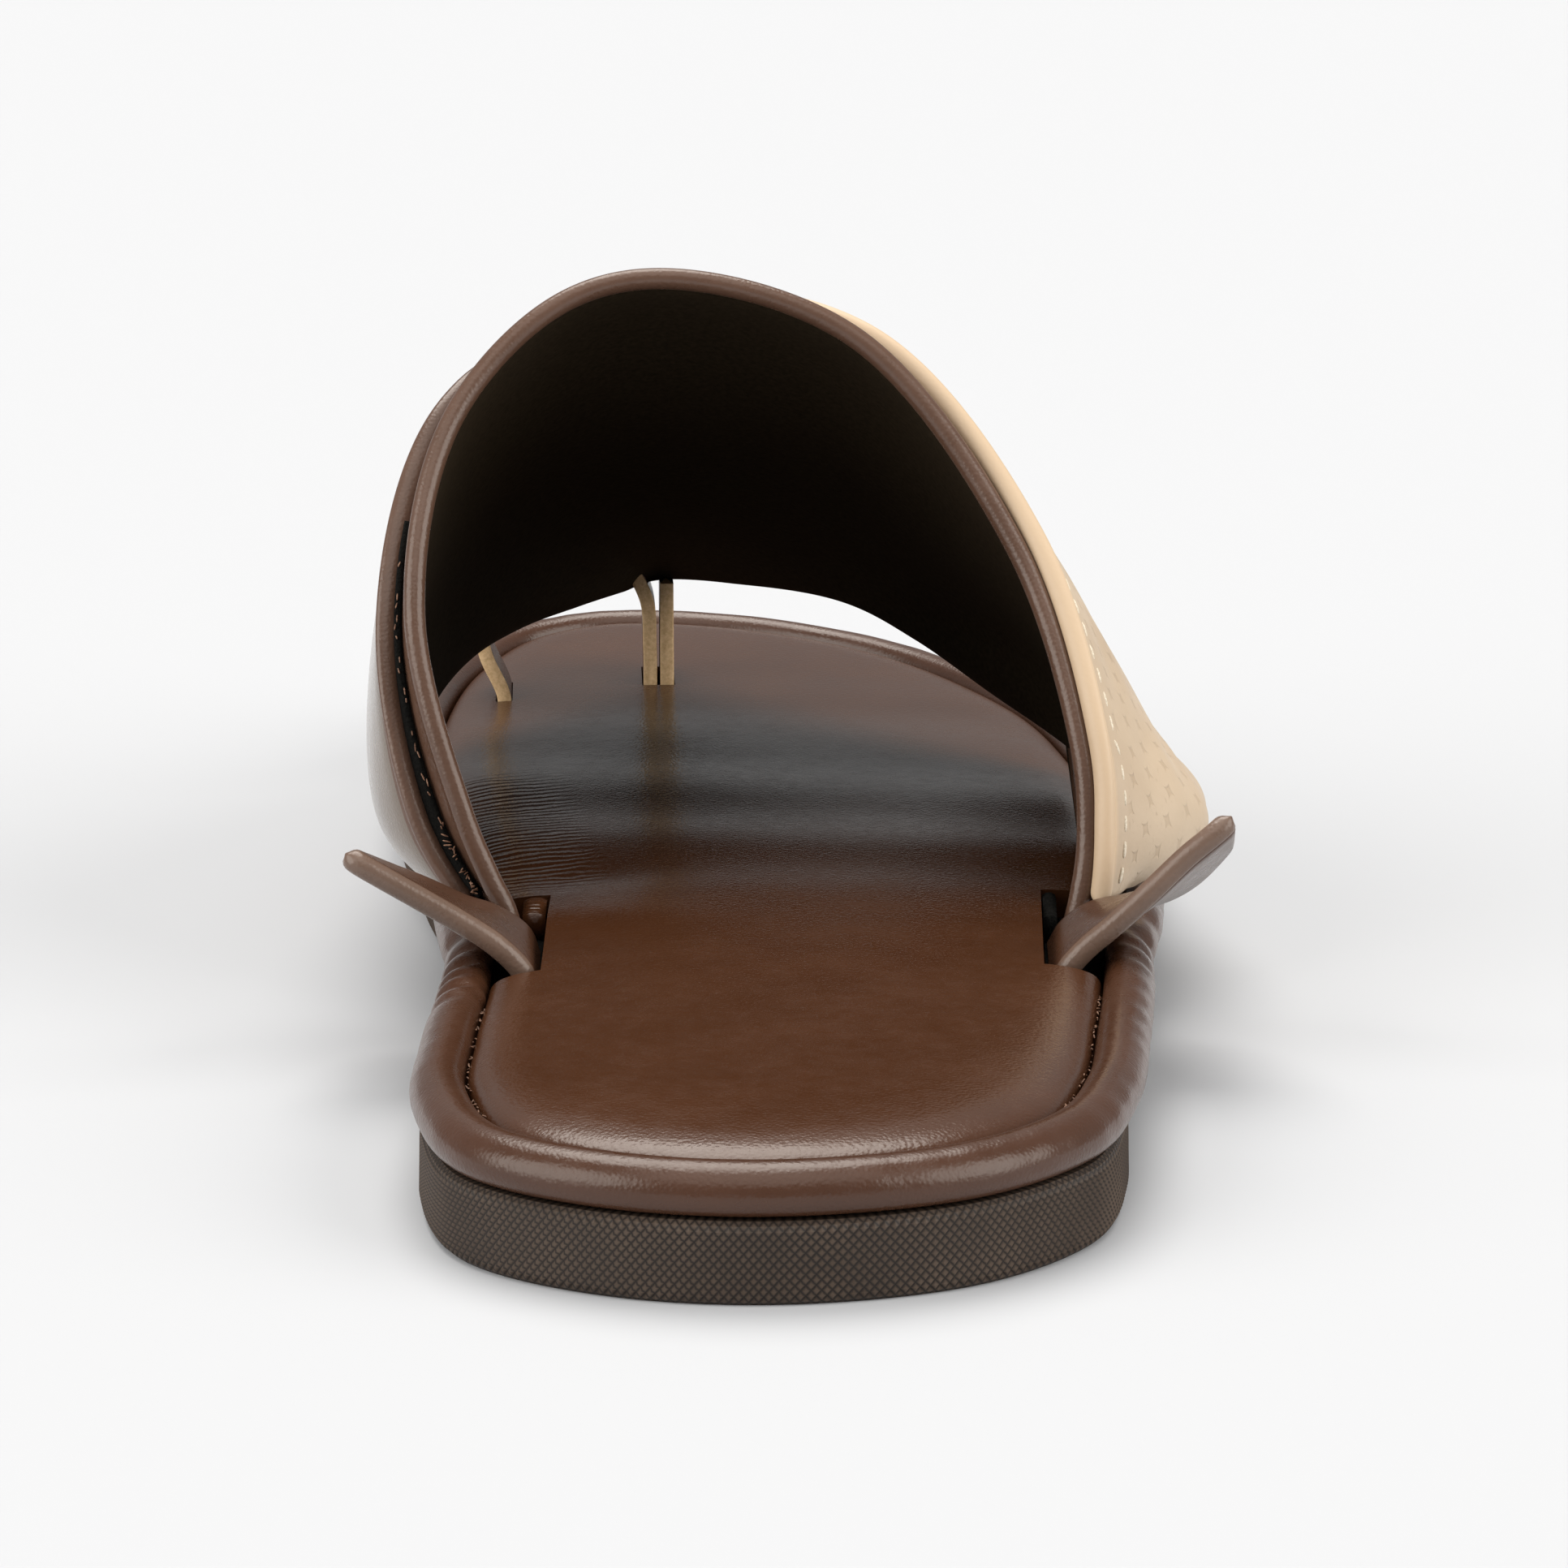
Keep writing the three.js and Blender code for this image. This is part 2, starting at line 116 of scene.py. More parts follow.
def sole_ring(place, inward, inset, height, toward=0.0):
    """One closed ring, set in from the outline and drawn part of the way to the middle line."""
    at = place + inward * np.reshape(inset, (-1, 1))
    other = np.roll(at[::-1], 1, axis=0)
    middle = ((at + other) / 2)[: len(at) // 2 + 1]
    line_y = np.clip((at[:, 1] + other[:, 1]) / 2, SPINE_REAR, SPINE_FRONT)
    middle = np.column_stack([np.interp(line_y, middle[:, 1], middle[:, 0]), line_y])
    at = at + (middle - at) * toward
    ring = np.column_stack([at, height(at[:, 1])])
    return np.vstack([ring, ring[:1]])


def lay_grid(name, points, chart=None, finish=None, weld=1e-6):
    """A flat grid whose crossings are moved to points[row, column], with its seams welded."""
    rows, cols = points.shape[0] - 1, points.shape[1] - 1
    bpy.ops.object.select_all(action="DESELECT")
    bpy.ops.mesh.primitive_grid_add(x_subdivisions=cols, y_subdivisions=rows, size=1.0)
    piece = bpy.context.object
    piece.name = piece.data.name = name
    mesh = piece.data
    flat = np.empty(len(mesh.vertices) * 3)
    mesh.vertices.foreach_get("co", flat)
    flat = flat.reshape(-1, 3)
    col = np.rint((flat[:, 0] + 0.5) * cols).astype(int)
    row = np.rint((flat[:, 1] + 0.5) * rows).astype(int)
    mesh.vertices.foreach_set("co", ((points[row, col] - HEEL_TO_ORIGIN) * MM).ravel())
    corner = np.empty(len(mesh.loops), int)
    mesh.loops.foreach_get("vertex_index", corner)
    if chart is not None:
        mesh.uv_layers[0].name = "chart"
        mesh.uv_layers[0].data.foreach_set("uv", chart[row[corner], col[corner]].ravel())
    if finish is not None:
        quads = corner.reshape(-1, 4)
        mesh.polygons.foreach_set("material_index", finish[row[quads].min(axis=1), col[quads].min(axis=1)])
    mesh.update()
    bpy.ops.object.mode_set(mode="EDIT")
    bpy.ops.mesh.select_all(action="SELECT")
    bpy.ops.mesh.remove_doubles(threshold=weld)
    bpy.ops.mesh.normals_make_consistent(inside=False)
    bpy.ops.object.mode_set(mode="OBJECT")
    bpy.ops.object.shade_smooth()
    return piece


def add_node(tree, kind, **settings):
    """A shader node with its settings and unlinked input values."""
    made = tree.nodes.new(kind)
    values = settings.pop("values", {})
    for key, value in settings.items():
        setattr(made, key, value)
    for key, value in values.items():
        made.inputs[key].default_value = value
    return made


def blank_finish(name):
    """A new material: its node tree, its surface shader and its object coordinates."""
    made = bpy.data.materials.new(name)
    made.use_nodes = True
    tree = made.node_tree
    surface = tree.nodes["Principled BSDF"]
    where = add_node(tree, "ShaderNodeTexCoord")
    return made, tree, surface, where


def blend_colours(tree, factor, low, high):
    """A colour between low and high by a factor from another node."""
    mix = add_node(tree, "ShaderNodeMix", data_type="RGBA")
    tree.links.new(factor, mix.inputs[0])
    for socket, value in ((mix.inputs[6], low), (mix.inputs[7], high)):
        if isinstance(value, bpy.types.NodeSocket):
            tree.links.new(value, socket)
        else:
            socket.default_value = (*value, 1)
    return mix.outputs[2]


def spread(tree, socket, low, high, to_low=0.0, to_high=1.0):
    """A value stretched from one range to another, and kept inside it."""
    made = add_node(tree, "ShaderNodeMapRange", values={1: low, 2: high, 3: to_low, 4: to_high})
    tree.links.new(socket, made.inputs[0])
    return made.outputs[0]


SOLE_STATIONS = 1296
WALL_ROWS = 14
WALL_FOOT, WALL_HEAD = 0.45, 0.4
DIAMOND_RISE = 0.34
place, inward = edge_stations(SOLE_STATIONS)
cut = waist(place)
sole_rows = [sole_ring(place, inward, 2.4 + cut, ground, k) for k in (1.0, 0.75, 0.5, 0.25)]
sole_rows += [sole_ring(place, inward, k + cut, ground) for k in (2.4, 0.9)]
for k in range(WALL_ROWS + 1):
    up = k / WALL_ROWS
    peak = (np.arange(SOLE_STATIONS) + k) % 2 * (0 < k < WALL_ROWS)
    inset = 0.4 + 0.2 * up + cut - DIAMOND_RISE * peak
    height = lambda y, up=up: ground(y) + WALL_FOOT + (deck(y) - ground(y) - WALL_FOOT - WALL_HEAD) * up
    sole_rows.append(sole_ring(place, inward, inset, height))
sole_rows.append(sole_ring(place, inward, 1.1 + cut, deck))
sole_rows += [sole_ring(place, inward, 1.1 + cut, deck, k) for k in (0.25, 0.5, 0.75, 1.0)]
sole_rows = np.array(sole_rows)
rows_below_wall = 6
step, level = np.meshgrid(np.arange(SOLE_STATIONS + 1), np.arange(len(sole_rows)) - rows_below_wall)
net = np.stack([(step + level) / 2, (step - level) / 2], axis=-1)
outsole = lay_grid("outsole_rubber", sole_rows, chart=net)
bpy.ops.object.shade_smooth_by_angle(angle=math.radians(14))

rubber, tree, surface, where = blank_finish("sole_rubber")
dust = add_node(tree, "ShaderNodeTexNoise", values={"Scale": 90.0, "Detail": 5.0, "Roughness": 0.6})
tree.links.new(where.outputs["Object"], dust.inputs["Vector"])
tone = blend_colours(tree, spread(tree, dust.outputs["Fac"], 0.35, 0.7), (0.06, 0.041, 0.029), (0.1, 0.071, 0.052))
net = add_node(tree, "ShaderNodeUVMap", uv_map="chart")
ways = add_node(tree, "ShaderNodeSeparateXYZ")
tree.links.new(net.outputs["UV"], ways.inputs[0])
gaps = []
for way in ("X", "Y"):
    folded = add_node(tree, "ShaderNodeMath", operation="PINGPONG", values={1: 0.5})
    tree.links.new(ways.outputs[way], folded.inputs[0])
    gaps.append(folded)
# Painted shade: the rubber's colour is darkened to near black along the net lines between the raised diamonds, standing
# in for the shade in the grooves.
groove = add_node(tree, "ShaderNodeMath", operation="MINIMUM")
tree.links.new(gaps[0].outputs[0], groove.inputs[0])
tree.links.new(gaps[1].outputs[0], groove.inputs[1])
tone = blend_colours(tree, spread(tree, groove.outputs[0], 0.03, 0.3), (0.013, 0.009, 0.007), tone)
tree.links.new(tone, surface.inputs["Base Color"])
speck = add_node(tree, "ShaderNodeTexNoise", values={"Scale": 5200.0, "Detail": 2.0})
tree.links.new(where.outputs["Object"], speck.inputs["Vector"])
rough = add_node(tree, "ShaderNodeBump", values={"Strength": 0.5, "Distance": 0.00006})
tree.links.new(speck.outputs["Fac"], rough.inputs["Height"])
tree.links.new(rough.outputs["Normal"], surface.inputs["Normal"])
tree.links.new(spread(tree, dust.outputs["Fac"], 0.3, 0.7, 0.5, 0.66), surface.inputs["Roughness"])
surface.inputs["Specular IOR Level"].default_value = 0.35
outsole.data.materials.append(rubber)
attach(outsole, "root")
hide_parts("outsole")

# Footbed rim: smooth brown leather wrapped over a padded edge, so that it stands as a round roll.
# It is lasted under and cemented to the outsole, and gathers into small folds where the waist curves in.
RIM_STATIONS = 960
ROLL_STEPS = 30
RIM_PROFILE = np.array([
    [2.4, 0.35], [1.15, 0.45], [0.35, 1.15], [0.02, 2.4], [0.4, 3.8], [1.6, 5.05], [3.3, 5.55],
    [4.9, 5.05], [5.75, 3.8], [5.95, 2.4], [6.0, 1.5],
])
# Folds of the leather at the waist: place along the sandal, depth and width.
INNER_FOLDS = [
    (66.5, 0.45, 1.5), (71.5, 0.85, 1.3), (76.0, 0.6, 1.1), (81.0, 1.0, 1.6), (87.5, 0.7, 1.5), (95.0, 0.5, 2.0),
]
OUTER_FOLDS = [(80.0, 0.35, 1.6), (86.5, 0.5, 1.4), (93.0, 0.7, 1.8), (101.0, 0.4, 2.0)]


def grained_leather(name, brown, deep, grain_mm=0.42, depth=0.00005, gloss=(0.24, 0.34), coat=0.0):
    """Smooth dyed leather: mottled colour, fine pebble grain, faint creases and uneven gloss."""
    made, tree, surface, where = blank_finish(name)
    spots = where.outputs["Object"]
    cloud = add_node(tree, "ShaderNodeTexNoise", values={"Scale": 70.0, "Detail": 5.0, "Roughness": 0.62})
    fleck = add_node(tree, "ShaderNodeTexNoise", values={"Scale": 500.0, "Detail": 2.0})
    pebble = add_node(tree, "ShaderNodeTexVoronoi", feature="SMOOTH_F1",
                      values={"Scale": 1000.0 / grain_mm, "Smoothness": 0.7})
    crease = add_node(tree, "ShaderNodeTexVoronoi", feature="DISTANCE_TO_EDGE", values={"Scale": 620.0})
    warp = add_node(tree, "ShaderNodeTexNoise", values={"Scale": 260.0, "Detail": 3.0})
    for texture in (cloud, fleck, pebble, warp):
        tree.links.new(spots, texture.inputs["Vector"])
    bent = add_node(tree, "ShaderNodeMix", data_type="VECTOR", values={0: 0.004})
    tree.links.new(spots, bent.inputs[4])
    tree.links.new(warp.outputs["Color"], bent.inputs[5])
    tree.links.new(bent.outputs[1], crease.inputs["Vector"])
    tone = blend_colours(tree, spread(tree, cloud.outputs["Fac"], 0.32, 0.68), deep, brown)
    lines = spread(tree, crease.outputs["Distance"], 0.0, 0.12)
    tree.links.new(tone, surface.inputs["Base Color"])
    uneven = add_node(tree, "ShaderNodeMath", operation="ADD")
    tree.links.new(cloud.outputs["Fac"], uneven.inputs[0])
    tree.links.new(fleck.outputs["Fac"], uneven.inputs[1])
    tree.links.new(spread(tree, uneven.outputs[0], 0.7, 1.3, *gloss), surface.inputs["Roughness"])
    soft = add_node(tree, "ShaderNodeBump", values={"Strength": 0.12, "Distance": 0.00004})
    tree.links.new(lines, soft.inputs["Height"])
    fine = add_node(tree, "ShaderNodeBump", values={"Strength": 0.7, "Distance": depth})
    fine.invert = True
    tree.links.new(pebble.outputs["Distance"], fine.inputs["Height"])
    tree.links.new(soft.outputs["Normal"], fine.inputs["Normal"])
    tree.links.new(fine.outputs["Normal"], surface.inputs["Normal"])
    surface.inputs["Specular IOR Level"].default_value = 0.4
    surface.inputs["Coat Weight"].default_value = coat
    surface.inputs["Coat Roughness"].default_value = 0.22
    return made


place, inward = edge_stations(RIM_STATIONS)
inner_side = place[:, 0] < 0
folds = np.zeros(RIM_STATIONS)
for fold_y, deep, wide in INNER_FOLDS:
    folds -= inner_side * deep * np.exp(-((place[:, 1] - fold_y) / wide) ** 2)
for fold_y, deep, wide in OUTER_FOLDS:
    folds -= ~inner_side * deep * np.exp(-((place[:, 1] - fold_y) / wide) ** 2)
folds += 0.05 * np.sin(place[:, 1] * 0.9 + place[:, 0] * 0.5) * np.sin(place[:, 0] * 0.37 + 1.0)
pinch = 0.9 * np.exp(-((place[:, 1] - 92) / 9) ** 2)
rim_profile = smooth_curve(RIM_PROFILE, np.linspace(0, 1, ROLL_STEPS + 1))
rim_rows = [sole_ring(place, inward, 2.4, lambda y: deck(y) + 0.35, k) for k in (1.0, 0.66, 0.33)]
for k, (inset, rise) in enumerate(rim_profile):
    bulge = math.sin(math.pi * k / ROLL_STEPS) ** 1.5
    lean = inset + bulge * (pinch - folds * (0.4 + 0.6 * math.sin(math.pi * k / ROLL_STEPS)))
    ring = sole_ring(place, inward, lean, lambda y: deck(y) + rise)
    ring[:, 2] += bulge * 0.5 * np.append(folds, folds[:1]) * (rise > 3)
    rim_rows.append(ring)
rim_rows += [sole_ring(place, inward, 6.0, lambda y: deck(y) + 1.5, k) for k in (0.33, 0.66, 1.0)]
rim = lay_grid("rim_roll", np.array(rim_rows))
rim.data.materials.append(grained_leather("rim_leather", (0.066, 0.0265, 0.013), (0.056, 0.0222, 0.0105), coat=0.15))
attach(rim, "root")
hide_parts("footbed_rim")

# Insole: a soft pad covered in smooth brown leather, stuck down inside the roll.
# It is puffed at its edge, slit at both sides for the straps and holed for the toe strips.
PAD_STATIONS = 720
EDGE_STEPS, TOP_STEPS = 19, 16
CHART_SCALE = 0.01
PAD_EDGE = np.array([[6.5, 1.8], [6.2, 2.7], [6.25, 3.5], [6.8, 4.25], [7.9, 4.85], [9.6, 5.35], [12.0, 5.75]])
# Plans of the cuts at the bottom and the top of the pad: x low, x high, y.
INNER_SLIT = [
    (-54, -54, 75.6), (-24.2, -24.2, 75.6), (-23.2, -23.2, 111.5), (-27.9, -29.2, 112.4),
    (-29.3, -30.7, 125), (-31.0, -32.3, 139), (-33.2, -34.4, 152), (-54, -54, 152),
]
OUTER_SLIT = [
    (62, 62, 152), (44.2, 46.2, 152), (42.0, 44.7, 139), (40.2, 43.2, 125),
    (38.4, 41.3, 112.4), (35.9, 35.9, 111.5), (32.8, 32.8, 75.6), (62, 62, 75.6),
]
POST_HOLE = [(-10.45, -10.45, 236.85), (-5.65, -5.65, 236.85), (-5.65, -5.65, 247.65), (-10.45, -10.45, 247.65)]
LOOP_HOLE = [(-31.45, -31.95, 230.35), (-29.1, -29.5, 230.35), (-29.1, -29.5, 241.15), (-31.45, -31.95, 241.15)]
place, inward = edge_stations(PAD_STATIONS)
pad_rows = [sole_ring(place, inward, 6.5, lambda y: deck(y) + 1.8, k) for k in (1.0, 0.66, 0.33)]
for inset, rise in smooth_curve(PAD_EDGE, np.linspace(0, 1, EDGE_STEPS)):
    pad_rows.append(sole_ring(place, inward, inset, lambda y: deck(y) + rise))
for k in np.linspace(0.06, 1.0, TOP_STEPS):
    pad_rows.append(sole_ring(place, inward, 12.0, lambda y, k=k: deck(y) + 5.75 + 0.65 * (1 - (1 - k) ** 3), k))
pad_rows = np.array(pad_rows)
pad_step = np.concatenate([[0], np.cumsum(np.linalg.norm(np.diff(np.vstack([place, place[:1]]), axis=0), axis=1))])
pad_in = np.concatenate([np.zeros(3), np.linspace(0, 6, EDGE_STEPS), np.linspace(7, 40, TOP_STEPS)])
pad_chart = np.stack(np.meshgrid(pad_step * CHART_SCALE, pad_in * CHART_SCALE), axis=-1)
# Soft waves of the loose cover: a swell behind the inner slit and shallow hollows across the waist.
x, y = pad_rows[..., 0], pad_rows[..., 1]
on_top = ease((pad_rows[..., 2] - deck(y) - 4.6) / 1.0)
swell = 0.55 * np.exp(-((x + 20) / 13) ** 2 - ((y - 99) / 9) ** 2)
swell -= 0.6 * np.exp(-((x + 21) / 11) ** 2 - ((y - 121) / 8) ** 2)
swell += 0.2 * np.exp(-((x - 30) / 9) ** 2 - ((y - 96) / 12) ** 2)
swell += 0.16 * np.sin(y * 0.19 + 0.03 * x) * ease((y - 95) / 40) * ease((245 - y) / 30)
pad_rows[..., 2] += swell * on_top
insole = lay_grid("insole_pad", pad_rows, chart=pad_chart)


def slit_cutter(plan):
    """A prism over a plan outline, leaning with the strap that passes, for cutting the insole."""
    bpy.ops.object.select_all(action="DESELECT")
    bpy.ops.mesh.primitive_circle_add(vertices=len(plan), radius=1.0, fill_type="NGON")
    cutter = bpy.context.object
    for vertex, (px, _, py) in zip(cutter.data.vertices, plan):
        vertex.co = (np.array([px, py, 10.0]) - HEEL_TO_ORIGIN) * MM
    bpy.ops.object.mode_set(mode="EDIT")
    bpy.ops.mesh.select_all(action="SELECT")
    bpy.ops.mesh.extrude_region_move(TRANSFORM_OT_translate={"value": (0, 0, 5 * MM)})
    bpy.ops.mesh.select_all(action="SELECT")
    bpy.ops.mesh.normals_make_consistent(inside=False)
    bpy.ops.object.mode_set(mode="OBJECT")
    slant = {}
    for px, high, py in plan:
        corner = (np.array([px, py]) - HEEL_TO_ORIGIN[:2]) * MM
        slant[tuple(np.round(corner, 6))] = (high - px) * MM
    for vertex in cutter.data.vertices:
        lean = slant[tuple(np.round(np.array(vertex.co[:2]), 6))]
        upper_end = vertex.co.z > 12 * MM
        vertex.co.x += lean * (2.4 if upper_end else -1.0)
        vertex.co.z = 22 * MM if upper_end else 5 * MM
    return cutter


for plan in (INNER_SLIT, OUTER_SLIT, POST_HOLE, LOOP_HOLE):
    cutter = slit_cutter(plan)
    bpy.ops.object.select_all(action="DESELECT")
    insole.select_set(True)
    bpy.context.view_layer.objects.active = insole
    slit = insole.modifiers.new("slit", "BOOLEAN")
    slit.operation, slit.object, slit.solver = "DIFFERENCE", cutter, "MANIFOLD"
    bpy.ops.object.modifier_apply(modifier="slit")
    bpy.data.objects.remove(cutter)
bpy.ops.object.shade_smooth_by_angle(angle=math.radians(40))

cover = grained_leather("insole_leather", (0.065, 0.0238, 0.0092), (0.057, 0.0207, 0.0079),
                        gloss=(0.21, 0.29), coat=0.1)
# Fine gathers of the cover beside the inner foot of the band.
GATHER_REAR, GATHER_FRONT, GATHER_PITCH = 110, 185, 2.0
gathered = (place[:, 0] < 0) & (place[:, 1] > GATHER_REAR) & (place[:, 1] < GATHER_FRONT)
gather_arc = pad_step[:-1][gathered] * CHART_SCALE
tree = cover.node_tree
surface = tree.nodes["Principled BSDF"]
chart = add_node(tree, "ShaderNodeUVMap", uv_map="chart")
ways = add_node(tree, "ShaderNodeSeparateXYZ")
tree.links.new(chart.outputs["UV"], ways.inputs[0])
wobble = add_node(tree, "ShaderNodeTexNoise", values={"Scale": 22.0, "Detail": 1.0})
tree.links.new(chart.outputs["UV"], wobble.inputs["Vector"])
phase = add_node(tree, "ShaderNodeMath", operation="MULTIPLY_ADD", values={1: 8.0})
tree.links.new(wobble.outputs["Fac"], phase.inputs[0])
turns = add_node(tree, "ShaderNodeMath", operation="MULTIPLY", values={1: 2 * math.pi / (GATHER_PITCH * CHART_SCALE)})
tree.links.new(ways.outputs["X"], turns.inputs[0])
tree.links.new(turns.outputs[0], phase.inputs[2])
wave = add_node(tree, "ShaderNodeMath", operation="SINE")
tree.links.new(phase.outputs[0], wave.inputs[0])
height = wave.outputs[0]
for mask in (spread(tree, ways.outputs["Y"], 0.07, 0.16, 1.0, 0.0),
             spread(tree, ways.outputs["X"], gather_arc.min(), gather_arc.min() + 0.12),
             spread(tree, ways.outputs["X"], gather_arc.max() - 0.1, gather_arc.max(), 1.0, 0.0)):
    weigh = add_node(tree, "ShaderNodeMath", operation="MULTIPLY")
    tree.links.new(height, weigh.inputs[0])
    tree.links.new(mask, weigh.inputs[1])
    height = weigh.outputs[0]
gathers = add_node(tree, "ShaderNodeBump", values={"Strength": 0.3, "Distance": 0.00022})
tree.links.new(height, gathers.inputs["Height"])
tree.links.new(surface.inputs["Normal"].links[0].from_socket, gathers.inputs["Normal"])
tree.links.new(gathers.outputs["Normal"], surface.inputs["Normal"])
insole.data.materials.clear()
insole.data.materials.append(cover)
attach(insole, "root")
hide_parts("insole")

# Slot felt: black felt glued to the floor of each side slot, with a tongue that stands up at its front end.
# Its near-black floor sheets are also painted shade: they stand in for the shade in the slot openings beside the
# straps.
black_felt_and_shade, tree, surface, where = blank_finish("black_felt_and_slot_shade")
fuzz = add_node(tree, "ShaderNodeTexNoise", values={"Scale": 2600.0, "Detail": 4.0, "Roughness": 0.7})
tree.links.new(where.outputs["Object"], fuzz.inputs["Vector"])
tone = blend_colours(tree, spread(tree, fuzz.outputs["Fac"], 0.35, 0.7), (0.002, 0.002, 0.002), (0.009, 0.009, 0.008))
tree.links.new(tone, surface.inputs["Base Color"])
pile = add_node(tree, "ShaderNodeBump", values={"Strength": 1.0, "Distance": 0.00025})
tree.links.new(fuzz.outputs["Fac"], pile.inputs["Height"])
tree.links.new(pile.outputs["Normal"], surface.inputs["Normal"])
surface.inputs["Roughness"].default_value = 0.95
surface.inputs["Specular IOR Level"].default_value = 0.1


def closed_ends(loops):
    """Adds a point at each end of a sleeve of loops, so that it closes."""
    ends = [np.broadcast_to(loops[:, k].mean(axis=0), (len(loops), 3))[:, None] for k in (0, -1)]
    return np.concatenate([ends[0], loops, ends[1]], axis=1)


def felt_floor_shade(name, slit, far_inset):
    """A thin near-black felt strip on the floor of a slot, from the slit's edge to the roll, as painted shade for the
    slot opening.
    """
    edge_y = np.linspace(77.0, 150.5, 50)
    near = np.interp(edge_y, [p[1] for p in slit], [p[0] for p in slit])
    side = 1 if near[0] > 0 else -1
    ring_at, ring_in = edge_stations(1440)
    roll = (ring_at + ring_in * far_inset)[ring_at[:, 0] * side > 0]
    roll = roll[np.argsort(roll[:, 1])]
    far = np.interp(edge_y, roll[:, 1], roll[:, 0])
    across = np.linspace(0, 1, 9)[:, None]
    plan_x = near + 0.4 * side + (far - near - 0.4 * side) * across
    top = deck(edge_y) + 2.3 + 0.12 * np.sin(plan_x * 3.1 + edge_y * 2.3)
    upper_face = np.stack([plan_x, np.broadcast_to(edge_y, plan_x.shape), top], axis=-1)
    lower_face = upper_face.copy()
    lower_face[..., 2] = deck(edge_y) + 1.62
    loop = np.concatenate([upper_face, lower_face[::-1], upper_face[:1]])
    felt = lay_grid(name, closed_ends(loop))
    felt.data.materials.append(black_felt_and_shade)
    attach(felt, "root")


def slot_tongue(name, near_rear, near_front, thick, finish):
    """A leaf standing in the slot against the cut edge of the insole."""
    t = np.linspace(0, 1, 40)
    side = 1 if near_rear[0] > 0 else -1
    x = near_rear[0] + (near_front[0] - near_rear[0]) * t + 0.25 * side
    y = near_rear[1] + (near_front[1] - near_rear[1]) * t
    top = deck(y) + 5.6 + 0.7 * np.sin(np.pi * t) ** 2 + 0.08 * np.sin(t * 60)
    loop = [np.column_stack([x + side * dx * thick, y, np.where(k, top - down, deck(y) + 2.4)])
            for dx, k, down in ((0, 0, 0), (0, 1, 0.3), (0.3, 1, 0), (0.7, 1, 0), (1, 1, 0.3), (1, 0, 0), (0, 0, 0))]
    tongue = lay_grid(name, closed_ends(np.array(loop)))
    tongue.data.materials.append(finish)
    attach(tongue, "root")


slot_tongue("slot_tongue_inner", (-23.6, 103.0), (-23.3, 111.3), 2.7, cover)
slot_tongue("slot_tongue_outer", (34.8, 99.0), (35.8, 111.2), 1.6, black_felt_and_shade)
FELT_INSET = 6.4
# Near-black felt floors in both slots, standing in for the shade of the slot openings (painted shade).
felt_floor_shade("slot_floor_shade_inner", [(-24.2, 75.6), (-23.2, 112), (-27.4, 112.6), (-31.5, 152)], FELT_INSET)
felt_floor_shade("slot_floor_shade_outer", [(32.8, 75.6), (35.9, 112), (38.2, 112.6), (43.5, 152)], FELT_INSET)

# Upper: the instep band, one layer of brown leather over a nearly black lining, open at both ends.
# Its rear edge is rolled over a cord, and its feet pass down through the slots.
UPPER_ROWS = np.array([
    [[-27.2, 100, 10.9], [-28.2, 100, 14.8], [-29.8, 100.6, 18.8], [-32.7, 102, 26.2], [-38.8, 110, 49],
     [-34.4, 123, 70.5], [-21.2, 130, 83.6], [-7.5, 131, 86.3], [14.5, 129, 79.1], [33, 118.5, 55],
     [39.4, 107, 33], [39.8, 103.5, 23], [39.2, 101, 16], [38.4, 100, 10.9]],
    [[-29.6, 114, 10.8], [-31.4, 114, 15.4], [-36.2, 114, 18.2], [-39.9, 115, 23.2], [-40.5, 121, 46],
     [-34.2, 134.5, 66.8], [-21.4, 143.5, 77.0], [-8.0, 145, 79.6], [15.6, 143, 72.6], [35, 132, 51.4],
     [48.2, 120, 28.2], [52.8, 117, 20.3], [46.0, 115, 17.4], [40.4, 114, 11.2]],
    [[-32.0, 137, 10.6], [-33.9, 137, 15.2], [-38.4, 137, 17.8], [-41.5, 138, 22.4], [-41.7, 143, 38],
     [-35.4, 157, 54.6], [-22.2, 166, 62.8], [-8.2, 168, 64.6], [16, 166, 59], [37, 156, 42],
     [50.0, 142, 25], [53.8, 140, 19.8], [48.2, 138, 17.0], [43.4, 137, 10.8]],
    [[-38.4, 166, 17.2], [-40.0, 166, 17.8], [-41.5, 167, 19.6], [-42.3, 169, 24], [-40.8, 176, 33],
     [-33, 189, 41.4], [-21, 201, 45.2], [-8.2, 206, 46], [14, 200, 43.5], [35, 184, 34.5],
     [48.4, 168, 23.5], [51.4, 164.5, 18.8], [50.0, 163, 17.0], [48.2, 162, 16.6]],
    [[-41.0, 199, 19.4], [-40.6, 202, 20.4], [-39.5, 205, 21.8], [-34.5, 212.5, 25.0], [-27, 220.5, 27.4],
     [-19.5, 228.5, 28.4], [-13.2, 237, 28.8], [-8, 245, 29.2], [3, 233.5, 30.6], [17, 217, 31.2],
     [27, 204, 28.2], [37, 193.5, 22.6], [42.5, 188, 19.8], [46.5, 184.5, 18.2]],
])
BACK_STEPS, OVER_STEPS = 200, 560
back = np.linspace(0, 1, BACK_STEPS + 1)
over = np.linspace(0, 1, OVER_STEPS + 1)
lengthwise = np.array([smooth_curve(UPPER_ROWS[:, k], back) for k in range(UPPER_ROWS.shape[1])])
upper_place = np.array([smooth_curve(lengthwise[:, k], over) for k in range(BACK_STEPS + 1)])
upper_out = np.cross(np.gradient(upper_place, axis=1), np.gradient(upper_place, axis=0))
upper_out /= np.linalg.norm(upper_out, axis=2)[..., None]


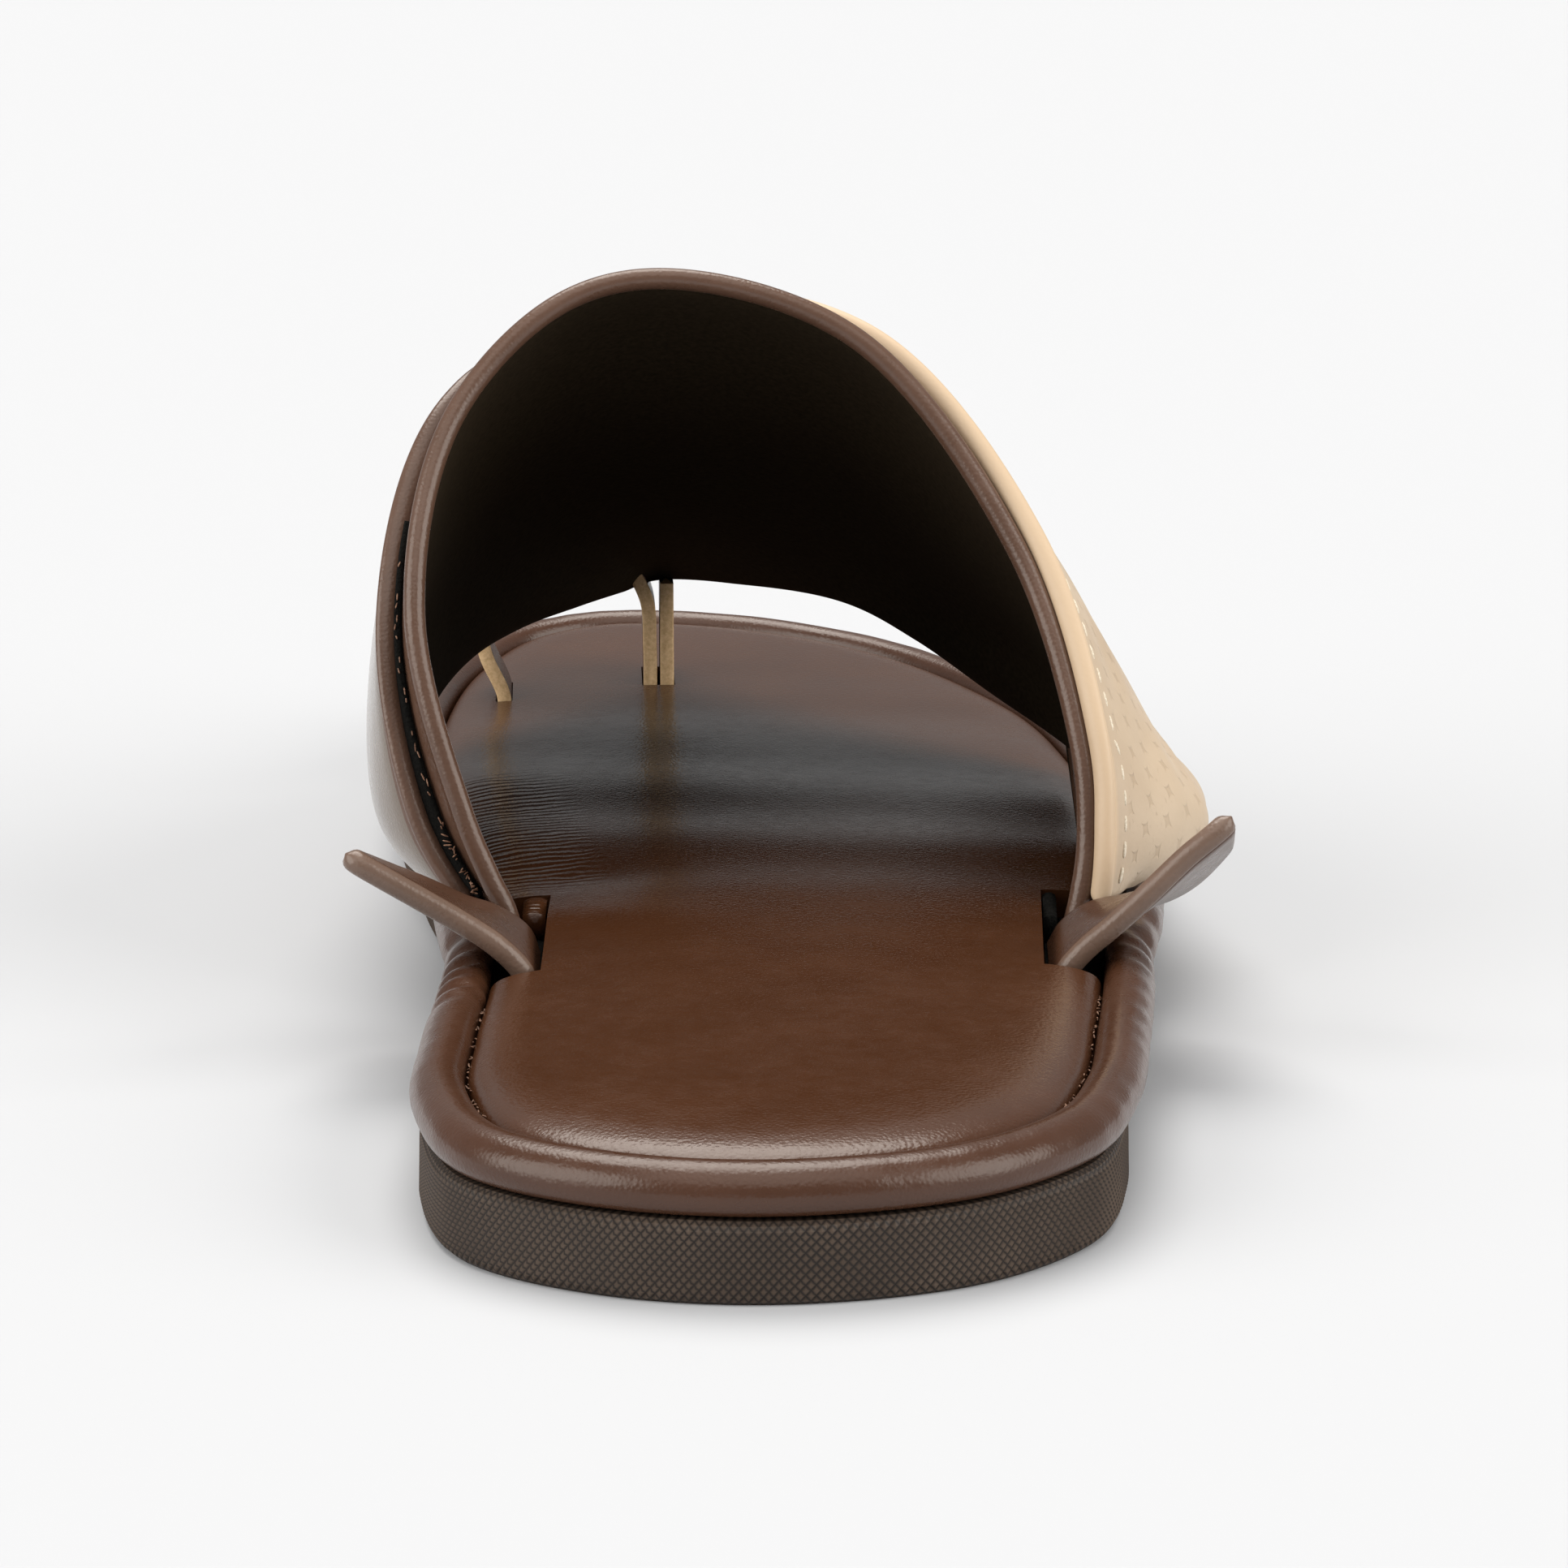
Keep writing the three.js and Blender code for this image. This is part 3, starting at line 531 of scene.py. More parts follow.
def on_upper(u, v, lift=0.0):
    """Points over the upper: u from rear to front edge, v from inner to outer slot, lift outward in mm."""
    u, v, lift = np.broadcast_arrays(np.asarray(u, float), np.asarray(v, float), np.asarray(lift, float))
    i = np.clip(np.floor(u * BACK_STEPS).astype(int), 0, BACK_STEPS - 1)
    j = np.clip(np.floor(v * OVER_STEPS).astype(int), 0, OVER_STEPS - 1)
    a = (u * BACK_STEPS - i)[..., None]
    b = (v * OVER_STEPS - j)[..., None]

    def between(grid):
        near, far = (grid[i, j + k] * (1 - a) + grid[i + 1, j + k] * a for k in (0, 1))
        return near * (1 - b) + far * b

    return between(upper_place) + between(upper_out) * lift[..., None]


def rolled_section(radius, middle, half, face_from):
    """Rear edge of a strap, rolled over a cord: distances forward and lifts, from under face to top face."""
    turn = np.radians(np.linspace(-142, 142, 21))
    bead = np.column_stack([radius * (1 - np.cos(turn)), middle + radius * np.sin(turn)])
    behind = 2 * radius
    neck = np.array([[behind + 0.35, half * 0.72], [behind + 1.1, half * 0.9], [face_from, half]]) + np.array([0, middle])
    below = neck.copy()
    below[:, 1] = 2 * middle - below[:, 1]
    return np.vstack([below[::-1], bead, neck])


BAND_HALF = 1.0
BAND_BEAD = 1.3
FACE_FROM = 6.0
FRONT_TURN = [(0.995, 0.93), (0.9985, 0.65), (1.0, 0.25), (1.0, -0.25), (0.9985, -0.65), (0.995, -0.93)]
v = np.linspace(0, 1, 261)
reach = np.linalg.norm(on_upper(0.02, v) - on_upper(0.0, v), axis=1) / 0.02
roll = rolled_section(BAND_BEAD, 0.0, BAND_HALF, FACE_FROM)
sleeve = [on_upper(ahead / reach, v, lift) for ahead, lift in roll]
start_u = FACE_FROM / reach
face = np.linspace(0, 1, 50)[1:]
sleeve += [on_upper(start_u + (0.99 - start_u) * k, v, BAND_HALF) for k in face]
sleeve += [on_upper(u, v, lift) for u, lift in FRONT_TURN]
sleeve += [on_upper(start_u + (0.99 - start_u) * k, v, -BAND_HALF) for k in face[::-1]]
sleeve.append(sleeve[0])
sleeve = closed_ends(np.array(sleeve))
band_finish = np.zeros((sleeve.shape[0] - 1, sleeve.shape[1] - 1), int)
band_finish[:3] = 1
band_finish[len(roll) + len(face) + 3:] = 1
upper = lay_grid("instep_band", sleeve, finish=band_finish)
upper.data.materials.append(grained_leather("upper_leather", (0.115, 0.063, 0.042), (0.09, 0.048, 0.031), coat=0.15))

lining, tree, surface, where = blank_finish("dark_lining")
nap = add_node(tree, "ShaderNodeTexNoise", values={"Scale": 1500.0, "Detail": 4.0})
tree.links.new(where.outputs["Object"], nap.inputs["Vector"])
tone = blend_colours(tree, spread(tree, nap.outputs["Fac"], 0.3, 0.7), (0.022, 0.016, 0.0095), (0.036, 0.026, 0.0155))
tree.links.new(tone, surface.inputs["Base Color"])
weave = add_node(tree, "ShaderNodeBump", values={"Strength": 0.5, "Distance": 0.00005})
tree.links.new(nap.outputs["Fac"], weave.inputs["Height"])
tree.links.new(weave.outputs["Normal"], surface.inputs["Normal"])
surface.inputs["Roughness"].default_value = 0.8
surface.inputs["Specular IOR Level"].default_value = 0.06
upper.data.materials.append(lining)
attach(upper, "root")
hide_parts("upper")

# Toe post and big-toe loop: strips of brown leather cut with raw tan edges.
# They come up through holes in the insole, and the loop is joined to the post under the point of the band.
STRIP_WIDTH, STRIP_HALF = 10.5, 1.0
LOOP_ROWS = [
    [-30.3, 230.5, 10.2], [-30.7, 230.5, 14.5], [-33.2, 230.5, 20.4], [-34.0, 231, 26.5], [-30.0, 232, 33.2],
    [-22.0, 233.5, 36.4], [-14.2, 235, 34.0], [-9.9, 236.5, 27.5], [-9.3, 237, 20.0], [-9.3, 237, 10.5],
]
POST_ROWS = [[-6.8, 237, 10.5], [-6.8, 237, 20.0], [-6.8, 237, 29.4]]

raw_edge, tree, surface, where = blank_finish("raw_tan_edge")
fibre = add_node(tree, "ShaderNodeTexNoise", values={"Scale": 1700.0, "Detail": 5.0, "Roughness": 0.7})
tree.links.new(where.outputs["Object"], fibre.inputs["Vector"])
tone = blend_colours(tree, spread(tree, fibre.outputs["Fac"], 0.3, 0.7), (0.5, 0.33, 0.16), (0.78, 0.57, 0.33))
tree.links.new(tone, surface.inputs["Base Color"])
frayed = add_node(tree, "ShaderNodeBump", values={"Strength": 0.7, "Distance": 0.00012})
tree.links.new(fibre.outputs["Fac"], frayed.inputs["Height"])
tree.links.new(frayed.outputs["Normal"], surface.inputs["Normal"])
surface.inputs["Roughness"].default_value = 0.75
strap_brown = grained_leather("strap_leather", (0.085, 0.042, 0.026), (0.056, 0.028, 0.017))


def toe_strip(name, rows, steps):
    """A flat strip along a path, its width to the front, with raw edges."""
    path = smooth_curve(rows, np.linspace(0, 1, steps))
    run = np.gradient(path, axis=0)
    out = np.column_stack([-run[:, 2], np.zeros(steps), run[:, 0]])
    out /= np.linalg.norm(out, axis=1)[:, None]
    section = [(0.22, 1.0), (0.0, 0.78), (0.0, -0.78), (0.22, -1.0)]
    section += [(k, -1.0) for k in np.linspace(1.0, STRIP_WIDTH - 1.0, 7)]
    section += [(STRIP_WIDTH - 0.22, -1.0), (STRIP_WIDTH, -0.78), (STRIP_WIDTH, 0.78), (STRIP_WIDTH - 0.22, 1.0)]
    section += [(k, 1.0) for k in np.linspace(STRIP_WIDTH - 1.0, 1.0, 7)] + [(0.22, 1.0)]
    sides = np.array([path + out * side * STRIP_HALF + np.array([0, ahead, 0]) for ahead, side in section])
    loops = closed_ends(sides)
    finish = np.zeros((loops.shape[0] - 1, loops.shape[1] - 1), int)
    finish[0:3] = 1
    finish[11:14] = 1
    strip = lay_grid(name, loops, finish=finish)
    bpy.ops.object.shade_smooth_by_angle(angle=math.radians(50))
    strip.data.materials.append(strap_brown)
    strip.data.materials.append(raw_edge)
    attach(strip, "root")


toe_strip("toe_loop", LOOP_ROWS, 110)
toe_strip("toe_post", POST_ROWS, 30)

# Outer band, inner side: brown leather with its own rolled edge, sewn to the upper over a strip of black felt.
# It runs from the inner slot up the instep and ends under the rear edge of the tan band.
TAN_REAR = [[0.004, 0.935], [0.004, 0.82], [0.012, 0.7], [0.12, 0.605], [0.36, 0.49], [0.62, 0.39], [0.9, 0.31]]
TAN_FRONT = [[0.46, 0.935], [0.5, 0.87], [0.58, 0.76], [0.68, 0.67], [0.78, 0.6], [0.88, 0.54], [0.95, 0.48]]
BROWN_FOOT = 0.12
BROWN_BEAD = 1.35
PANEL_UNDER, PANEL_TOP = 1.6, 3.5
PANEL_MIDDLE, PANEL_HALF = (PANEL_UNDER + PANEL_TOP) / 2, (PANEL_TOP - PANEL_UNDER) / 2


def brown_uv(a, b):
    """Place of the brown band on the upper: a from rear to front edge, b from the slot to its end."""
    end = smooth_curve(TAN_REAR, 0.66 + 0.18 * a)
    foot = 0.09 + 0.37 * a
    u = foot + (end[:, 0] - 0.0096 - foot) * b ** (2.5 - 1.3 * a)
    return u, BROWN_FOOT + (end[:, 1] - 0.016 - BROWN_FOOT) * b


def tan_uv(a, b):
    """Place of the tan band on the upper: a from rear to front edge, b from its inner end to the outer slot."""
    rear, front = smooth_curve(TAN_REAR, 1 - b), smooth_curve(TAN_FRONT, 1 - b)
    mixed = rear + (front - rear) * np.asarray(a)[..., None]
    return mixed[:, 0], mixed[:, 1]


def outer_band(name, band_uv, columns, face_steps, radius, relief=None, bead_finish=0):
    """A strap over the upper: rolled rear edge, sewn face and turned front edge, closed at both ends."""
    b = np.linspace(0, 1, columns)
    at = lambda a, lift: on_upper(*band_uv(np.full(columns, a), b), lift)
    lines = [at(k, PANEL_MIDDLE) for k in np.linspace(0, 1, 41)]
    across = np.linalg.norm(np.diff(lines, axis=0), axis=2).sum(axis=0)
    along = np.concatenate([[0], np.cumsum(np.linalg.norm(np.diff(at(0.3, PANEL_MIDDLE), axis=0), axis=1))])
    squeeze = np.sqrt(np.clip(1 - np.clip(1 - np.minimum(along, along[-1] - along) / 1.2, 0, 1) ** 2, 0.02, 1))
    flatten = lambda lift: PANEL_MIDDLE + (lift - PANEL_MIDDLE) * squeeze
    roll = rolled_section(radius, PANEL_MIDDLE, PANEL_HALF, FACE_FROM)
    rows = [on_upper(*band_uv(np.minimum(fore / across, 0.5), b), flatten(lift)) for fore, lift in roll]
    start = np.minimum(FACE_FROM / across, 0.5)
    face = np.linspace(0, 1, face_steps)[1:]
    place_of = lambda k, lift: on_upper(*band_uv(start + (0.985 - start) * k, b), lift)
    chart = [np.column_stack([along, np.full(columns, fore)]) for fore, _ in roll]
    for k in face:
        high = PANEL_TOP if relief is None else PANEL_TOP + relief(along, FACE_FROM + (across - FACE_FROM) * k)
        rows.append(place_of(k, flatten(high)))
        chart.append(np.column_stack([along, FACE_FROM + (across - FACE_FROM) * k]))
    for a, lift in ((0.993, 0.8), (0.998, 0.5), (1.0, 0.15), (1.0, -0.3), (0.997, -0.85)):
        rows.append(at(a, flatten(PANEL_MIDDLE + lift * PANEL_HALF)))
        chart.append(np.column_stack([along, across * a]))
    for k in face[::-1]:
        rows.append(place_of(k, flatten(PANEL_UNDER)))
        chart.append(np.column_stack([along, FACE_FROM + (across - FACE_FROM) * k]))
    rows.append(rows[0])
    chart.append(chart[0])
    chart = np.array(chart)
    chart = np.concatenate([chart[:, :1], chart, chart[:, -1:]], axis=1) * CHART_SCALE
    loops = closed_ends(np.array(rows))
    finish = np.zeros((loops.shape[0] - 1, loops.shape[1] - 1), int)
    finish[:len(roll) - 2] = bead_finish
    return lay_grid(name, loops, chart=chart, finish=finish)


medial = outer_band("brown_outer_band", brown_uv, 150, 30, BROWN_BEAD, bead_finish=1)
# The face's pale grey-taupe is partly the leather's own colour and partly painted sheen: the glare the face shows at a
# grazing view. The rolled edge keeps the band's brown.
medial_face_and_sheen = grained_leather("medial_leather", (0.15, 0.115, 0.086), (0.125, 0.094, 0.069),
                              gloss=(0.24, 0.32), coat=0.9)
medial.data.materials.append(medial_face_and_sheen)
medial_edge = grained_leather("medial_edge", (0.125, 0.07, 0.048), (0.1, 0.055, 0.037), coat=0.15)
medial.data.materials.append(medial_edge)
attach(medial, "root")
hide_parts("medial_panel")

# Felt strip: the black felt between the brown band and the upper, its cut edge fuzzy with copper thread ends.
# It is glued to the upper and shows as a dark line under the band's rolled edge.
# Like ends of the same thread stick out between the insole and the roll at the heel.
FELT_STEPS = 120
FELT_SECTION = [(3.2, 1.08), (0.3, 1.1), (0.0, 1.3), (0.0, 1.75), (0.3, 1.95), (3.2, 1.7), (3.2, 1.08)]
FELT_BEHIND, MM_PER_U = 1.9, 56.0
COPPER_THICK = 0.2
b = np.linspace(0.0, 0.62, FELT_STEPS)
felt_loop = []
for fore, lift in FELT_SECTION:
    u, w = brown_uv(np.zeros(FELT_STEPS), b)
    felt_loop.append(on_upper(u - (FELT_BEHIND - fore) / MM_PER_U, w, lift))
felt_edge = felt_loop[3]
felt_strip = lay_grid("band_felt", closed_ends(np.array(felt_loop)))
felt_strip.data.materials.append(black_felt_and_shade)
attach(felt_strip, "root")

copper, tree, surface, where = blank_finish("copper_thread")
strand = add_node(tree, "ShaderNodeTexNoise", values={"Scale": 3000.0, "Detail": 2.0})
tree.links.new(where.outputs["Object"], strand.inputs["Vector"])
tone = blend_colours(tree, spread(tree, strand.outputs["Fac"], 0.35, 0.65), (0.1, 0.04, 0.02), (0.34, 0.19, 0.12))
tree.links.new(tone, surface.inputs["Base Color"])
surface.inputs["Roughness"].default_value = 0.5


def thread_bits(name, spots, runs, length, thickness, finish):
    """Short rounded bits of thread, one at each spot and along each run, joined into one piece."""
    bpy.ops.object.select_all(action="DESELECT")
    bpy.ops.mesh.primitive_uv_sphere_add(segments=6, ring_count=5, radius=1.0)
    first = bpy.context.object
    co = np.array([q.co for q in first.data.vertices])
    co[:, 2] = np.sign(co[:, 2]) * np.abs(co[:, 2]) ** 0.7
    bits = []
    for spot, run, long in zip(spots, runs, length):
        bit = first.copy()
        bit.data = first.data.copy()
        bpy.context.collection.objects.link(bit)
        run = np.asarray(run) / np.linalg.norm(run)
        side = np.cross(run, (0.31, 0.2, 0.93))
        side /= np.linalg.norm(side)
        rise = np.cross(side, run)
        turn = np.column_stack([side * thickness / 2, rise * thickness / 2, run * long / 2])
        bit.data.vertices.foreach_set("co", ((co @ turn.T + spot - HEEL_TO_ORIGIN) * MM).ravel())
        bits.append(bit)
    bpy.data.objects.remove(first)
    bpy.ops.object.select_all(action="DESELECT")
    for bit in bits:
        bit.select_set(True)
    bpy.context.view_layer.objects.active = bits[0]
    bpy.ops.object.join()
    joined = bpy.context.object
    joined.name = joined.data.name = name
    bpy.ops.object.shade_smooth()
    joined.data.materials.append(finish)
    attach(joined, "root")
    return joined


shake = random.Random(7)
spots, runs, lengths = [], [], []
for k in range(4, 112, 2):
    if shake.random() < 0.8:
        spots.append(felt_edge[k] + np.array([shake.uniform(-0.2, 0.2), -0.1, shake.uniform(-0.3, 0.3)]))
        runs.append(felt_edge[k + 1] - felt_edge[k] + np.array([shake.uniform(-0.2, 0.2) for _ in range(3)]))
        lengths.append(shake.uniform(0.5, 1.1))
thread_bits("band_thread_ends", spots, runs, lengths, COPPER_THICK, copper)

place, inward = edge_stations(1200)
spots, runs, lengths = [], [], []
for k in list(range(1, 165)) + list(range(1030, 1199)):
    if shake.random() < 0.34 and place[k, 1] < 75:
        at = place[k] + inward[k] * (6.12 + shake.uniform(-0.12, 0.12))
        spots.append(np.array([*at, deck(at[1]) + 3.6 + shake.uniform(-0.3, 0.3)]))
        along_edge = np.array([-inward[k][1], inward[k][0], 0])
        runs.append(along_edge + np.array([shake.uniform(-0.7, 0.7) for _ in range(3)]))
        lengths.append(shake.uniform(0.35, 0.9))
thread_bits("insole_thread_ends", spots, runs, lengths, COPPER_THICK, copper)

# Outer band, outer side: pale tan leather with a rolled edge and a row of cream stitches inside it.
# It comes out of the outer slot, crosses the instep to the toes, and is pressed with small leaf marks.


def soft_dents(along, across):
    """Loose wrinkles of the tan leather near the outer slot."""
    near_slot = ease((along - along.max() + 62) / 40)
    wave = np.sin(across * 0.55 + 1.6 * np.sin(along * 0.16)) * np.sin(along * 0.21 + across * 0.12)
    return (0.3 * near_slot * wave - 0.03) * ease((across - 6) / 8)


TAN_BEAD = 1.3
tan = outer_band("tan_outer_band", tan_uv, 260, 70, TAN_BEAD, soft_dents)
tan_leather, tree, surface, where = blank_finish("tan_leather")
chart = add_node(tree, "ShaderNodeUVMap", uv_map="chart")
cloud = add_node(tree, "ShaderNodeTexNoise", values={"Scale": 60.0, "Detail": 5.0, "Roughness": 0.6})
tree.links.new(where.outputs["Object"], cloud.inputs["Vector"])
tone = blend_colours(tree, spread(tree, cloud.outputs["Fac"], 0.3, 0.7), (0.49, 0.385, 0.275), (0.56, 0.455, 0.335))
parts = add_node(tree, "ShaderNodeSeparateXYZ")
tree.links.new(chart.outputs["UV"], parts.inputs[0])
on_face = spread(tree, parts.outputs["Y"], 0.028, 0.034)
tone = blend_colours(tree, on_face, (0.62, 0.475, 0.325), tone)
stretch = add_node(tree, "ShaderNodeMapping", values={"Scale": (70.0, 260.0, 1.0)})
tree.links.new(chart.outputs["UV"], stretch.inputs["Vector"])
wrinkle = add_node(tree, "ShaderNodeTexNoise", values={"Scale": 1.0, "Detail": 3.0, "Distortion": 0.6})
tree.links.new(stretch.outputs["Vector"], wrinkle.inputs["Vector"])
creased = spread(tree, wrinkle.outputs["Fac"], 0.22, 0.34, 0.35, 1.0)
repeat = add_node(tree, "ShaderNodeMapping", values={"Scale": (24.0, 30.0, 1.0), "Rotation": (0, 0, 0.5)})
tree.links.new(chart.outputs["UV"], repeat.inputs["Vector"])
leaf = add_node(tree, "ShaderNodeTexVoronoi", feature="F1", distance="MINKOWSKI", voronoi_dimensions="2D",
                values={"Scale": 1.0, "Exponent": 0.6, "Randomness": 0.0})
tree.links.new(repeat.outputs["Vector"], leaf.inputs["Vector"])
pressed = spread(tree, leaf.outputs["Distance"], 0.22, 0.34, 0.3, 1.0)
pits = add_node(tree, "ShaderNodeMath", operation="MINIMUM")
tree.links.new(creased, pits.inputs[0])
tree.links.new(pressed, pits.inputs[1])
plain_edge = add_node(tree, "ShaderNodeMath", operation="MAXIMUM")
tree.links.new(pits.outputs[0], plain_edge.inputs[0])
tree.links.new(spread(tree, parts.outputs["Y"], 0.05, 0.065, 1.0, 0.0), plain_edge.inputs[1])
pits = plain_edge
# Painted shade: the tan colour darkens in the wrinkle creases and pressed leaf marks, the recesses of the leather.
tone = blend_colours(tree, spread(tree, pits.outputs[0], 0.3, 1.0, 0.72, 1.0), (0.3, 0.21, 0.13), tone)
tree.links.new(tone, surface.inputs["Base Color"])
hide = add_node(tree, "ShaderNodeTexVoronoi", feature="SMOOTH_F1", values={"Scale": 1700.0, "Smoothness": 0.7})
tree.links.new(where.outputs["Object"], hide.inputs["Vector"])
stamped = add_node(tree, "ShaderNodeBump", values={"Strength": 0.6, "Distance": 0.00018})
tree.links.new(pits.outputs[0], stamped.inputs["Height"])
fine = add_node(tree, "ShaderNodeBump", values={"Strength": 0.5, "Distance": 0.00004})
fine.invert = True
tree.links.new(hide.outputs["Distance"], fine.inputs["Height"])
tree.links.new(stamped.outputs["Normal"], fine.inputs["Normal"])
tree.links.new(fine.outputs["Normal"], surface.inputs["Normal"])
tree.links.new(spread(tree, cloud.outputs["Fac"], 0.3, 0.7, 0.42, 0.55), surface.inputs["Roughness"])
tan.data.materials.append(tan_leather)
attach(tan, "root")
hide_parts("lateral_panel")

cream, tree, surface, where = blank_finish("cream_thread")
ply = add_node(tree, "ShaderNodeTexNoise", values={"Scale": 4200.0, "Detail": 2.0})
tree.links.new(where.outputs["Object"], ply.inputs["Vector"])
tone = blend_colours(tree, spread(tree, ply.outputs["Fac"], 0.35, 0.65), (0.62, 0.55, 0.42), (0.86, 0.8, 0.68))
tree.links.new(tone, surface.inputs["Base Color"])
twist = add_node(tree, "ShaderNodeBump", values={"Strength": 0.6, "Distance": 0.0001})
tree.links.new(ply.outputs["Fac"], twist.inputs["Height"])
tree.links.new(twist.outputs["Normal"], surface.inputs["Normal"])
surface.inputs["Roughness"].default_value = 0.6
STITCH_PITCH, STITCH_LENGTH, STITCH_THICK = 3.1, 2.1, 0.5
STITCH_FROM_EDGE = 3.75
LINE_STEPS = 300


def stitch_row(line):
    """Spots and runs of even stitches along a line of points."""
    walk = np.concatenate([[0], np.cumsum(np.linalg.norm(np.diff(line, axis=0), axis=1))])
    want = np.arange(2.5, walk[-1] - 2.5, STITCH_PITCH)
    at = np.column_stack([np.interp(want, walk, line[:, k]) for k in range(3)])
    ahead = np.column_stack([np.interp(want + 0.4, walk, line[:, k]) for k in range(3)])
    return list(at), list(ahead - at)


b = np.linspace(0.004, 0.996, LINE_STEPS)
u, w = tan_uv(np.zeros(LINE_STEPS), b)
edge_line = on_upper(u, w, PANEL_TOP)
u, w = tan_uv(np.full(LINE_STEPS, 0.03), b)
fore = on_upper(u, w, PANEL_TOP) - edge_line
rear_line = edge_line + fore / np.linalg.norm(fore, axis=1)[:, None] * STITCH_FROM_EDGE
u, w = tan_uv(np.full(LINE_STEPS, 0.94), b)
front_line = on_upper(u, w, PANEL_TOP + 0.05)
spots, runs = stitch_row(rear_line)
more, more_runs = stitch_row(front_line)
lengths = [STITCH_LENGTH] * (len(spots) + len(more))
tan_stitches = thread_bits("tan_band_stitches", spots + more, runs + more_runs, lengths, STITCH_THICK, cream)

brown_thread = grained_leather("brown_thread", (0.05, 0.026, 0.016), (0.03, 0.016, 0.01),
                               grain_mm=0.25, gloss=(0.5, 0.6))
u, w = brown_uv(np.full(LINE_STEPS, 0.955), b)
spots, runs = stitch_row(on_upper(u, w, PANEL_TOP + 0.02))
u, w = brown_uv(np.linspace(0.07, 0.94, LINE_STEPS), np.full(LINE_STEPS, 0.962))
more, more_runs = stitch_row(on_upper(u, w, PANEL_TOP + 0.02))
lengths = [STITCH_LENGTH] * (len(spots) + len(more))
brown_stitches = thread_bits("brown_band_stitches", spots + more, runs + more_runs, lengths, STITCH_THICK, brown_thread)
spots, runs = stitch_row(on_upper(0.955, np.linspace(0.03, 0.97, 400), BAND_HALF + 0.02))
lengths = [STITCH_LENGTH] * len(spots)
edge_stitches = thread_bits("upper_edge_stitches", spots, runs, lengths, STITCH_THICK, brown_thread)

# Side wings: ears of two layers of brown leather, folded over at the rear edge and closed by a seam beneath.
# Each comes up out of a slot and leans out over the roll, its front edge lower than its rear edge.
WING_HALF = 1.35
WING_REAR_Y, WING_FRONT_Y = 77.0, 97.5
WING_STEPS = 90
INNER_WING = [
    [-25.7, 10.8, -25.7, 10.7], [-26.3, 13.4, -26.6, 13.0], [-29.2, 16.6, -30.0, 15.4], [-33.0, 19.3, -33.6, 16.6],
    [-37.5, 22.1, -38.3, 18.8], [-42.6, 25.2, -42.6, 20.6], [-46.0, 27.3, -45.6, 21.9],
]
OUTER_WING = [
    [35.0, 10.9, 36.6, 11.0], [35.6, 12.8, 37.8, 13.0], [37.6, 15.3, 40.8, 15.1], [41.0, 18.4, 45.0, 16.0],
    [45.2, 22.6, 49.2, 17.0], [49.4, 26.8, 52.8, 18.8], [54.2, 30.6, 56.4, 21.6],
]
# The rounded rear edge of each wing uses a lighter, greyer copy of the wing leather: a painted highlight along the
# edge.
wing_edge_highlight = grained_leather("wing_edge_highlight", (0.17, 0.112, 0.084), (0.13, 0.084, 0.062), coat=0.1)
wing_brown = grained_leather("wing_leather", (0.085, 0.039, 0.022), (0.066, 0.03, 0.017), coat=0.05)


def side_wing(name, rows, node):
    """One wing from its rear and front edges, with rounded edges, a seam groove below and turned corners."""
    rows = np.array(rows)
    a = np.linspace(0, 1, WING_STEPS)
    rear = smooth_curve(np.column_stack([rows[:, 0], np.full(len(rows), WING_REAR_Y), rows[:, 1]]), a)
    front = smooth_curve(np.column_stack([rows[:, 2], np.full(len(rows), WING_FRONT_Y), rows[:, 3]]), a)
    turned = 1 - np.sqrt(1 - 0.97 * np.clip((a - 0.6) / 0.4, 0, 1) ** 2.4)
    front += (rear - front) * (0.72 * turned)[:, None]
    rear[:, 1] += 1.5 * np.clip((a - 0.85) / 0.15, 0, 1) ** 3
    ahead = front - rear
    width = np.linalg.norm(ahead, axis=1)
    ahead /= width[:, None]
    up = np.cross(np.gradient(rear, axis=0), ahead)
    up *= np.sign(up[:, 2].mean())
    up /= np.linalg.norm(up, axis=1)[:, None]
    left = np.linalg.norm(rear - rear[-1], axis=1)
    squeeze = np.sqrt(np.clip(1 - np.clip(1 - left / 1.5, 0, 1) ** 2, 0.03, 1))
    section = [(WING_HALF * (1 - math.cos(t)), WING_HALF * math.sin(t)) for t in np.radians(np.linspace(90, -75, 15))]
    section += [(1.55, -1.2), (1.75, -0.85), (1.95, -1.2), (2.3, -WING_HALF), (4.0, -WING_HALF)]
    under = np.linspace(0.3, 0.93, 10)
    loops = [rear + ahead * fore + up * (rise * squeeze)[:, None] for fore, rise in section]
    loops += [rear + ahead * (width * k)[:, None] - up * (WING_HALF * squeeze)[:, None] for k in under]
    for fore, rise in ((0.5, -1.25), (0.15, -0.85), (0.0, 0.0), (0.15, 0.85), (0.5, 1.25)):
        loops.append(front - ahead * fore + up * (rise * squeeze)[:, None])
    loops += [rear + ahead * (width * k)[:, None] + up * (WING_HALF * squeeze)[:, None] for k in under[::-1]]
    loops += [rear + ahead * 4.0 + up * (WING_HALF * squeeze)[:, None], loops[0]]
    finish = np.zeros((len(loops) - 1, WING_STEPS + 1), int)
    # The rounded rear-edge rows take the lighter edge material, which is a painted highlight.
    finish[1:15] = 1
    wing = lay_grid(name, closed_ends(np.array(loops)), finish=finish)
    bpy.ops.object.shade_smooth_by_angle(angle=math.radians(60))
    wing.data.materials.append(wing_brown)
    wing.data.materials.append(wing_edge_highlight)
    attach(wing, "root")
    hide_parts(node)


side_wing("inner_wing", INNER_WING, "medial_wing")
side_wing("outer_wing", OUTER_WING, "lateral_wing")

